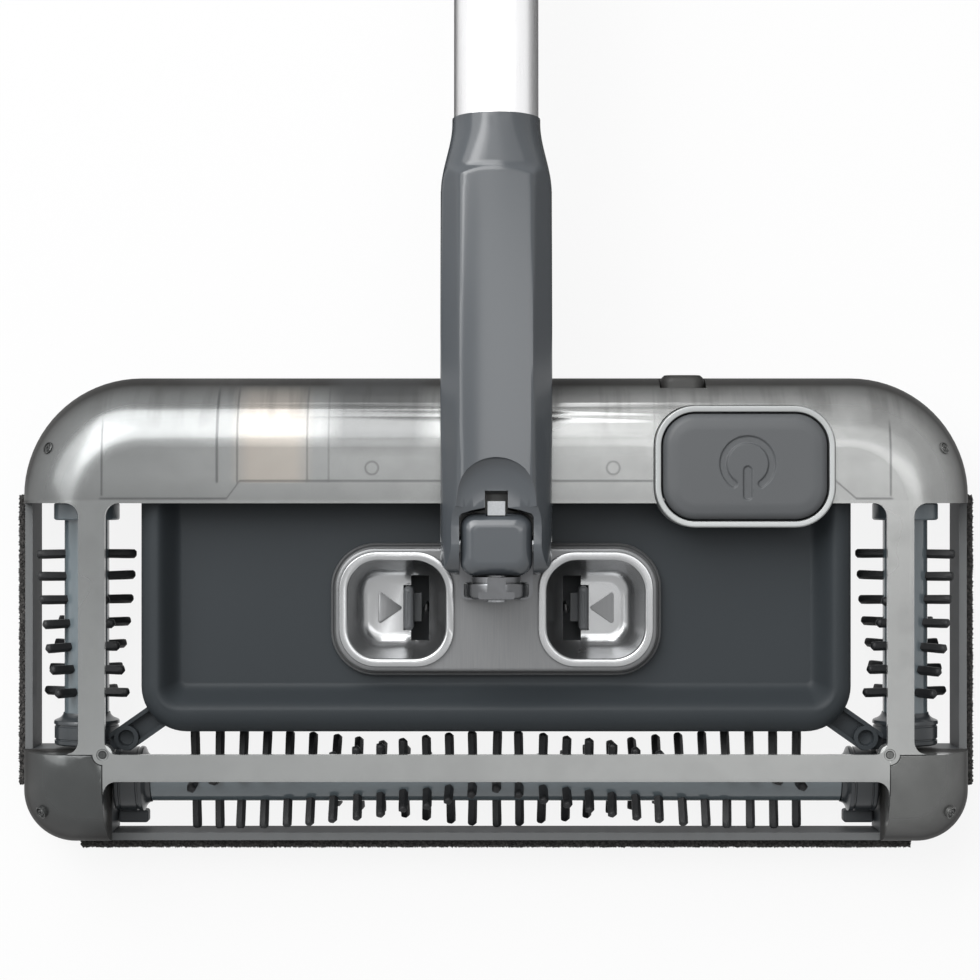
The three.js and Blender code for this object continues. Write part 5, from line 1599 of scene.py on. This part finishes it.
def brush(side, ends, lay, rows):
    """Makes the core and the tufts of one brush; both ride on its roller."""
    core = turned(f"{side}_brush_core", core_profile(*ends), "z", (0, 0, 0), 64)
    core.data.transform(lay)
    tufts = grown(f"{side}_brush_bristles", rows_tree, rows)
    tufts.data.transform(lay)
    fit(smooth(core, 50), f"{side}_roller", "collar", core_finish, f"{side}_brush")
    fit(smooth(tufts, 62), f"{side}_roller", "brush", bristle_finish)


print("a brush reaches", TUFT_INPUTS["Reach"], "mm from its axis at", AXIS_Z, "mm over the floor")

# %% Side brushes
PITCH = TUFT_INPUTS["Pitch"]
IN_COLLAR = 2.7
STUB_SHORT = 7.5
SPINDLE_SHORT = 1.5
front_y = head.y0 + 21.3
side_x = head_half - 21.1
left_span = Span("left_brush")
right_span = Span("right_brush")
core_start = Span("mid_collar_right").y1 - IN_COLLAR
core_end = Span("rear_collar_right").y0 + IN_COLLAR
stub_front = front_y + STUB_SHORT
spindle_front = left_span.y0 + SPINDLE_SHORT
side_rows = {"Start": hump_front - 17.6, "Pitch": -PITCH}
left_lay = swapped((-1, 0, 0), (0, 0, 1), (0, 1, 0), (-side_x, 0, AXIS_Z))
right_lay = swapped((1, 0, 0), (0, 0, 1), (0, 1, 0), (side_x, 0, AXIS_Z))
print("side cores:", round(core_end - core_start, 1), "mm long")
left_ends = (core_start, core_end, stub_front, spindle_front, left_span.y1 - 3.7, left_span.y1)
right_ends = (core_start, core_end, stub_front, spindle_front, right_span.y1 - 0.6, right_span.y1)
brush("left", left_ends, left_lay, {**side_rows, "Seed": 11})
brush("right", right_ends, right_lay, {**side_rows, "Seed": 12})

# %% Front brush
HALF_TUFTS = 13
front_half = Span("front_brush").x1 - SPINDLE_SHORT
core_half = Span("front_collar_right").x0 + IN_COLLAR
stub_half = side_x - STUB_SHORT
print("front core:", round(2 * core_half, 1), "mm long")
front_ends = (-core_half, core_half, -stub_half, -front_half, stub_half, front_half)
front_lay = swapped((0, -1, 0), (0, 0, 1), (-1, 0, 0), (0, front_y, AXIS_Z))
brush("front", front_ends, front_lay, {
    "Tufts": 2 * HALF_TUFTS + 1, "Start": -HALF_TUFTS * PITCH, "Twist": -6.7, "Lead": 83.0,
    "Fold": HALF_TUFTS, "Seed": 13})

# %% [markdown]
# ## End collars
# The brushes end in collars that hide the bearings. Each is turned from one profile: a rim at each end, a
# waist between them and a cup toward the core. The rear ones are short blocks with a flange; the mid and
# front ones are glossy and longer, so they carry a second groove.


# %% Collars
COLLAR_RADIUS = 11.4
COLLAR_BORE = 3.9
MOUTH = [(8.1, 0), (8.3, 0.7), (8.8, 1.4), (9.6, 2), (10.6, 2.4), (11.2, 2.7), (COLLAR_RADIUS, 3.2)]
FIRST_GROOVE = [(COLLAR_RADIUS, 3.9), (10.9, 4.1), (10.9, 4.6), (11.2, 4.8)]
SECOND_GROOVE = [(11.2, 2.4), (10.8, 2.2), (10.8, 1.8), (11.2, 1.6)]
BACK = [(11.2, 0.5), (10.7, 0), (COLLAR_BORE, 0)]


def rear_collar_profile(low, high):
    """A short block with a cup in its rear end."""
    r, cup = COLLAR_RADIUS, high - 3
    return [
        (COLLAR_BORE, low), (r - 0.5, low), (r, low + 0.5), (r, high - 0.5), (r - 0.5, high), (8.2, high),
        (8.2, cup), (COLLAR_BORE, cup)]


def long_collar_profile(mouth, back):
    """From the flared mouth that meets the core to the back; mouth may lie on either side."""
    way = 1 if back > mouth else -1
    cup = mouth + way * 3
    outside = [(r, mouth + way * d) for r, d in MOUTH + FIRST_GROOVE]
    outside += [(r, back - way * d) for r, d in SECOND_GROOVE + BACK]
    return outside + [(COLLAR_BORE, cup), (8.1, cup)]


def collar(node, body, finish, profile, axis, centre):
    """One collar in the place of a node of the frame."""
    piece = turned(f"{node}_dressed", profile, axis, centre, 72)
    fit(smooth(piece, 30), body, "collar", finish, node)


for side, name in ((1, "right"), (-1, "left")):
    roller = f"{name}_roller"
    side_axis = (side * side_x, 0, AXIS_Z)
    span = Span(f"rear_collar_{name}")
    rear_profile = rear_collar_profile(span.y0, span.y1)
    collar(f"rear_collar_{name}", roller, block_finish, rear_profile, "y", side_axis)
    span = Span(f"mid_collar_{name}")
    mid_profile = long_collar_profile(span.y1, span.y0)
    collar(f"mid_collar_{name}", roller, collar_finish, mid_profile, "y", side_axis)
    span = Span(f"front_collar_{name}")
    ends = (span.x0 + 2.6, span.x1) if side > 0 else (span.x1 - 2.6, span.x0)
    front_profile = long_collar_profile(*ends)
    collar(f"front_collar_{name}", "front_roller", collar_finish, front_profile, "x", (0, front_y, AXIS_Z))

# %% Bearing blocks in the front corners
block_front = head.y0 + 4.5
bearing_block = block(
    "bearing_block_right", corner_x - 10.5, corner_x + 0.2, block_front, block_front + 4.6, 3, 9)
bearing_block = rounded(bearing_block, 1, 3)
other_block = mirrored("bearing_block_left", bearing_block)
fit(smooth(bearing_block), "head", "pan_grey", pan_finish)
fit(smooth(other_block), "head", "pan_grey", pan_finish)

# %% [markdown]
# ## Bumper strips
# A strip of short dark pile runs along each side and the front, so the sweeper doesn't mark the
# furniture. The backing is a thin bar with round edges, and thousands of little cones stand on its faces.
# Geometry Nodes scatter them from a fixed seed, each turned to face away from the backing.

# %% The tree for the pile
PILE_INPUTS = {"Density": 2200000.0, "Length": 0.6, "Thickness": 0.4, "Seed": 3}


def pile_tree():
    """Little cones scattered on a backing, which stays under them."""
    tree, net, v = tree_with("pile", PILE_INPUTS)
    backing = Wire(net, tree.nodes["Group Input"].outputs["Geometry"])
    scatter = net.node("GeometryNodeDistributePointsOnFaces", {"distribute_method": "RANDOM"}, {
        "Mesh": backing, "Density": v["Density"], "Seed": v["Seed"]}).socket.node
    cone = net.node("GeometryNodeMeshCone", {"fill_type": "NONE"}, {
        "Vertices": 4, "Side Segments": 1, "Radius Top": 0.0, "Radius Bottom": v["Thickness"] * MM,
        "Depth": v["Length"] * MM}, "Mesh")
    size = net.node("FunctionNodeRandomValue", {"data_type": "FLOAT"}, {
        "Min": 0.55, "Max": 1.0, "ID": net.node("GeometryNodeInputIndex"), "Seed": v["Seed"]}, 1)
    hairs = net.node("GeometryNodeInstanceOnPoints", {}, {
        "Points": Wire(net, scatter.outputs["Points"]), "Instance": cone,
        "Rotation": Wire(net, scatter.outputs["Rotation"]), "Scale": size})
    both = tree.nodes.new("GeometryNodeJoinGeometry")
    tree.links.new(backing.socket, both.inputs[0])
    tree.links.new(hairs.socket, both.inputs[0])
    real = net.node("GeometryNodeRealizeInstances", {}, {"Geometry": Wire(net, both.outputs[0])})
    done = net.node("GeometryNodeSetMaterial", {}, {"Geometry": real, "Material": pile_finish})
    net.feed(tree.nodes.new("NodeGroupOutput").inputs["Geometry"], done)
    return tree


pile_rows = pile_tree()
print("pile tree:", len(pile_rows.nodes), "nodes")

# %% The three strips
PROUD = 0.7
END_GAP = 0.3
EDGE_GAP = 0.6
STRIPS = {
    "right": (21, (0, PROUD, END_GAP, -END_GAP)),
    "left": (22, (-PROUD, 0, END_GAP, -END_GAP)),
    "front": (23, (END_GAP, -END_GAP, -PROUD, 0)),
}
for name, (seed, moves) in STRIPS.items():
    span = Span(f"bumper_strip_{name}")
    sides = [place + move for place, move in zip((span.x0, span.x1, span.y0, span.y1), moves)]
    backing = rounded(block("backing", *sides, span.z0 + EDGE_GAP, span.z1 - EDGE_GAP), 0.4)
    strip = grown(f"bumper_strip_{name}_dressed", pile_rows, {"Seed": seed}, backing)
    bpy.data.objects.remove(backing)
    fit(strip, "head", "bumper", pile_finish, f"bumper_strip_{name}")

# %% [markdown]
# ## Wheels, axles and the charging socket
# The rear wheels have a soft tyre with two grooves and a dished hub, the front ones are plain rollers
# with their own stub axles. A profile that is the same on both sides is written for one side only and
# then turned round. The socket at the rear edge is a rounded block with a round hole and a pin in its
# middle.


# %% Wheel profiles
def both_sides(half_profile):
    """Adds the other side of a profile, whose distances are counted from its middle."""
    return half_profile + [(r, -d) for r, d in reversed(half_profile)]


def wheel_profile(radius, half, hub):
    """From the dished hub over the side wall to the tread with its groove."""
    dish = -half + 0.9
    groove = radius - 0.5
    side = [(hub, dish), (radius * 0.62, dish), (radius * 0.7, -half), (radius - 1.2, -half)]
    side += [(radius - 0.4, -half + 0.3), (radius, -half + 1)]
    tread = [(radius, -half * 0.35), (groove, -half * 0.3), (groove, -half * 0.12), (radius, -half * 0.08)]
    return both_sides(side + tread)


ROLLER_PROFILE = both_sides([
    (0, -4.4), (1.1, -4.4), (1.3, -4.1), (1.3, -2.3), (5.2, -2.3), (6, -1.5), (6, -0.5), (5.7, -0.3)])
print("front roller's profile:", len(ROLLER_PROFILE), "points")


# %% Wheels and axles
WHEEL_BORE = 1.7
AXLE = 1.3


def wheel(node, profile, sides):
    """A wheel in the place of a node of the frame; it rides on the body of the same name."""
    span = Span(node)
    piece = turned(f"{node}_dressed", profile, "x", (span.x, span.y, span.z), sides)
    fit(smooth(piece), node, "wheel_rubber", wheel_finish, node)


def rear_axle(node):
    """A steel pin with chamfered ends."""
    span = Span(node)
    low, high, edge = span.x0, span.x1, AXLE - 0.3
    profile = [(0, low), (edge, low), (AXLE, low + 0.3), (AXLE, high - 0.3), (edge, high), (0, high)]
    pin = turned(f"{node}_dressed", profile, "x", (0, span.y, span.z), 32)
    fit(smooth(pin), "head", "steel", steel_finish, node)


for name in ("right", "left"):
    span = Span(f"rear_wheel_{name}")
    tyre_profile = wheel_profile((span.z1 - span.z0) / 2, (span.x1 - span.x0) / 2, WHEEL_BORE)
    wheel(f"rear_wheel_{name}", tyre_profile, 64)
    rear_axle(f"rear_axle_{name}")
    wheel(f"front_wheel_{name}", ROLLER_PROFILE, 48)

# %% Charging socket
SOCKET_HOLE = 3.1
SOCKET_PIN = 0.9
rear = socket.y1
socket_centre = (socket.x, 0, socket.z)
socket_face = rounded_rect(socket.x0, socket.x1, socket.z0, socket.z1, 4.5, steps=10)
socket_levels = [(0, socket.y0), (0, rear - 2.4), (0.2, rear - 1.5), (0.7, rear - 0.7), (1.5, rear)]


def socket_ring(drawn_in, y):
    """The socket's face, shrunk toward its middle."""
    wide = 1 - drawn_in / ((socket.x1 - socket.x0) / 2)
    tall = 1 - drawn_in / ((socket.z1 - socket.z0) / 2)
    return [(socket.x + (x - socket.x) * wide, y, socket.z + (z - socket.z) * tall) for x, z in socket_face]


socket_body = skin("charging_socket_dressed", [socket_ring(d, y) for d, y in socket_levels])
socket_hole = rod("socket_hole", SOCKET_HOLE, "y", rear - 8.6, rear + 3, socket_centre, 40)
socket_pin = rod("socket_pin", SOCKET_PIN, "y", rear - 9, rear - 1.6, socket_centre, 20)
socket_body = smooth(rounded(cut(socket_body, socket_hole), 0.25))
fit(smooth(socket_pin), "head", "steel", steel_finish)
fit(socket_body, "head", "charcoal", socket_finish, "charging_socket")

# %% [markdown]
# ## Nodes of the frame that stay
# Inner parts such as the motor, the gears, the springs and the battery already have their true shape in
# the frame. They stay as they are and only get a finish.

# %% Finishes for the frame's own nodes
KEPT = (
    (pan_finish, ("rear_base", "dust_tray")),
    (corner_finish, ("corner_base_right", "corner_base_left")),
    (battery_finish, ("battery_pack",)),
    (board_finish, ("circuit_board",)),
    (black_finish, ("power_switch", "latch_spring_right", "latch_spring_left")),
    (steel_finish, ("motor", "pedal_spring", "roll_pin", "pitch_pin", "knuckle_tongue")),
    (gear_finish, (
        "motor_shaft", "gear_left_rear", "gear_left_front", "gear_right_front", "gear_front_left",
        "gear_front_right")),
)
for finish, nodes in KEPT:
    for node in nodes:
        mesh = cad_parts[node].data
        mesh.materials.clear()
        mesh.materials.append(finish)
    print(finish.name, "on", ", ".join(nodes))

# %% [markdown]
# ## Floor and surroundings
# The sweeper lies on a white floor in an evenly white room. To the camera and to mirrors both are almost
# pure white, but they light the sweeper only softly. A Light Path node tells the two kinds of ray apart.
# The floor keeps a little of its own lit white, so that a faint shadow stays under the head.


# %% The floor
WHITE = (1, 1, 1, 1)
FLOOR_GLOW = 0.88
ROOM_LIGHT = 0.34


def seen(net):
    """1 for rays from the camera, a mirror or clear plastic, and 0 for rays that carry light."""
    path = net.node("ShaderNodeLightPath").socket.node
    rays = [Wire(net, path.outputs[k]) for k in ("Is Camera Ray", "Is Glossy Ray", "Is Transmission Ray")]
    return (rays[0] + rays[1] + rays[2]).clamped()


bpy.ops.mesh.primitive_plane_add(size=16)
floor = bpy.context.object
floor.name = "floor"
floor_finish = Finish("floor_white", roughness=0.9, specular_ior_level=0.0)
floor_finish.set(base_color=tone(205))
glow = floor_finish.node("ShaderNodeEmission", {}, {"Color": WHITE, "Strength": 1.0})
blend = floor_finish.node("ShaderNodeMixShader", {}, {
    0: seen(floor_finish) * FLOOR_GLOW, 1: Wire(floor_finish, floor_finish.surface.outputs[0]), 2: glow})
floor_end = floor_finish.tree.nodes["Material Output"]
floor_finish.feed(floor_end.inputs["Surface"], blend)
floor.data.materials.append(floor_finish.material)
print("floor:", round(floor.dimensions.x, 1), "m wide")

# %% The room
world = bpy.data.worlds.new("studio")
scene.world = world
world.use_nodes = True
sky = Net(world.node_tree)
sky_light = sky.node("ShaderNodeBackground", {}, {"Color": WHITE, "Strength": ROOM_LIGHT})
sky_white = sky.node("ShaderNodeBackground", {}, {"Color": WHITE, "Strength": 1.0})
sky_mix = sky.node("ShaderNodeMixShader", {}, {0: seen(sky), 1: sky_light, 2: sky_white})
sky.feed(world.node_tree.nodes["World Output"].inputs["Surface"], sky_mix)
print("room light:", ROOM_LIGHT)

# %% [markdown]
# ## Lamps
# Gloss and metal show what stands round them, so each lamp is placed by where its mirror image should
# fall. A surface that leans by some angle mirrors what lies at twice that angle from straight up. So a
# lamp is written down by the angles that it fills, across the head and toward the rear, and by how bright
# it looks. The lamp overhead greys the flats, the two behind draw the white band along the head's rear
# fillet, brighter on its left part, and the one at the left lights the side of the tube and the brushes.


# %% Lamps
LAMP_DISTANCE = 2.5
LAMPS = {
    "overhead": (2.9, (-8, 34), (2.5, 15), 0),
    "rear_box": (5.8, (-42, -2.5), (17, 64), 0),
    "rear_box_right": (0.8, (3, 42), (17, 36), 0),
    "left_box": (2.6, (-20, 20), (28, 66), 58),
}


def softbox(name, level, across, along, azimuth):
    """A rectangular lamp of a given brightness; across and along are its reach, as angles from straight up.

    azimuth turns the lamp round the vertical, and 0 leaves along pointing to the rear.
    """
    middle = [math.radians((a + b) / 2) for a, b in (across, along)]
    half = [math.radians((b - a) / 2) for a, b in (across, along)]
    way = Vector((math.tan(middle[0]), math.tan(middle[1]), 1)).normalized()
    turn = Matrix.Rotation(math.radians(azimuth), 3, "Z")
    way.rotate(turn)
    wide = turn @ Vector((1, 0, 0))
    wide = (wide - way * wide.dot(way)).normalized()
    data = bpy.data.lights.new(name, "AREA")
    data.shape = "RECTANGLE"
    data.size = 2 * LAMP_DISTANCE * math.tan(half[0])
    data.size_y = 2 * LAMP_DISTANCE * math.tan(half[1])
    data.energy = level * math.pi * data.size * data.size_y
    lamp = placed(name, data)
    lamp.location = way * LAMP_DISTANCE
    lamp.rotation_euler = Matrix((wide, way.cross(wide), way)).transposed().to_euler()
    print(name, "level", level, "power", round(data.energy, 1), "W")


for name, lamp_values in LAMPS.items():
    softbox(name, *lamp_values)

# %% [markdown]
# ## Dark cards
# On a white floor a round metal tube would mirror only white and lose its edges. In a studio, dark cards
# are laid just out of sight beside such a thing. Here the cards lie on the floor behind the head and glow
# from dark near the tube to white farther off, so the dark edge fades softly. Only mirror rays see them.


# %% Cards
def card_finish(name, axis, near, far, dark):
    """Glows from dark at the near edge to white at the far one; axis 0 is across and 1 is along."""
    finish = Finish(name, roughness=1.0, base_color=tone(6), specular_ior_level=0.0)
    distance = finish.axes()[axis].size()
    level = dark + (1 - dark) * ((distance - near) / (far - near)).clamped()
    finish.set(emission_color=finish.mix(level, tone(0), tone(255)), emission_strength=1.0)
    return finish.material


def card(name, x0, x1, y0, y1, z, finish):
    """A flat card that only mirrors see."""
    piece = placed(name, bpy.data.meshes.new(name))
    corners = [(x0, y0, z), (x1, y0, z), (x1, y1, z), (x0, y1, z)]
    piece.data.from_pydata([Vector(c) * MM for c in corners], [], [(0, 1, 2, 3)])
    piece.data.materials.append(finish)
    piece.visible_camera = piece.visible_diffuse = piece.visible_shadow = piece.visible_transmission = False
    print(name, x1 - x0, "by", y1 - y0, "mm")


card("card_right", 16, 600, 95, 500, 3, card_finish("card_right_glow", 0, 40, 560, 0.12))
card("card_left", -110, -16, 95, 500, 3.2, card_finish("card_left_glow", 0, 50, 110, 0.0))
card("card_rear", -190, -111, 92, 300, 3.4, card_finish("card_rear_glow", 1, 92, 240, 0.12))

# %% [markdown]
# ## Camera
# The camera looks straight down from the height that gives the head its perspective. Standard is the view
# transform that leaves screen levels as the finishes state them.

# %% Camera and view
CAMERA_PLACE = (-0.0021, 0.0405, 0.861)
LENS = 88.16
camera = placed("camera", bpy.data.cameras.new("camera"))
camera.location = CAMERA_PLACE
camera.data.lens = LENS
scene.camera = camera
scene.view_settings.view_transform = "Standard"
print("camera", CAMERA_PLACE[2], "m up with a", LENS, "mm lens")
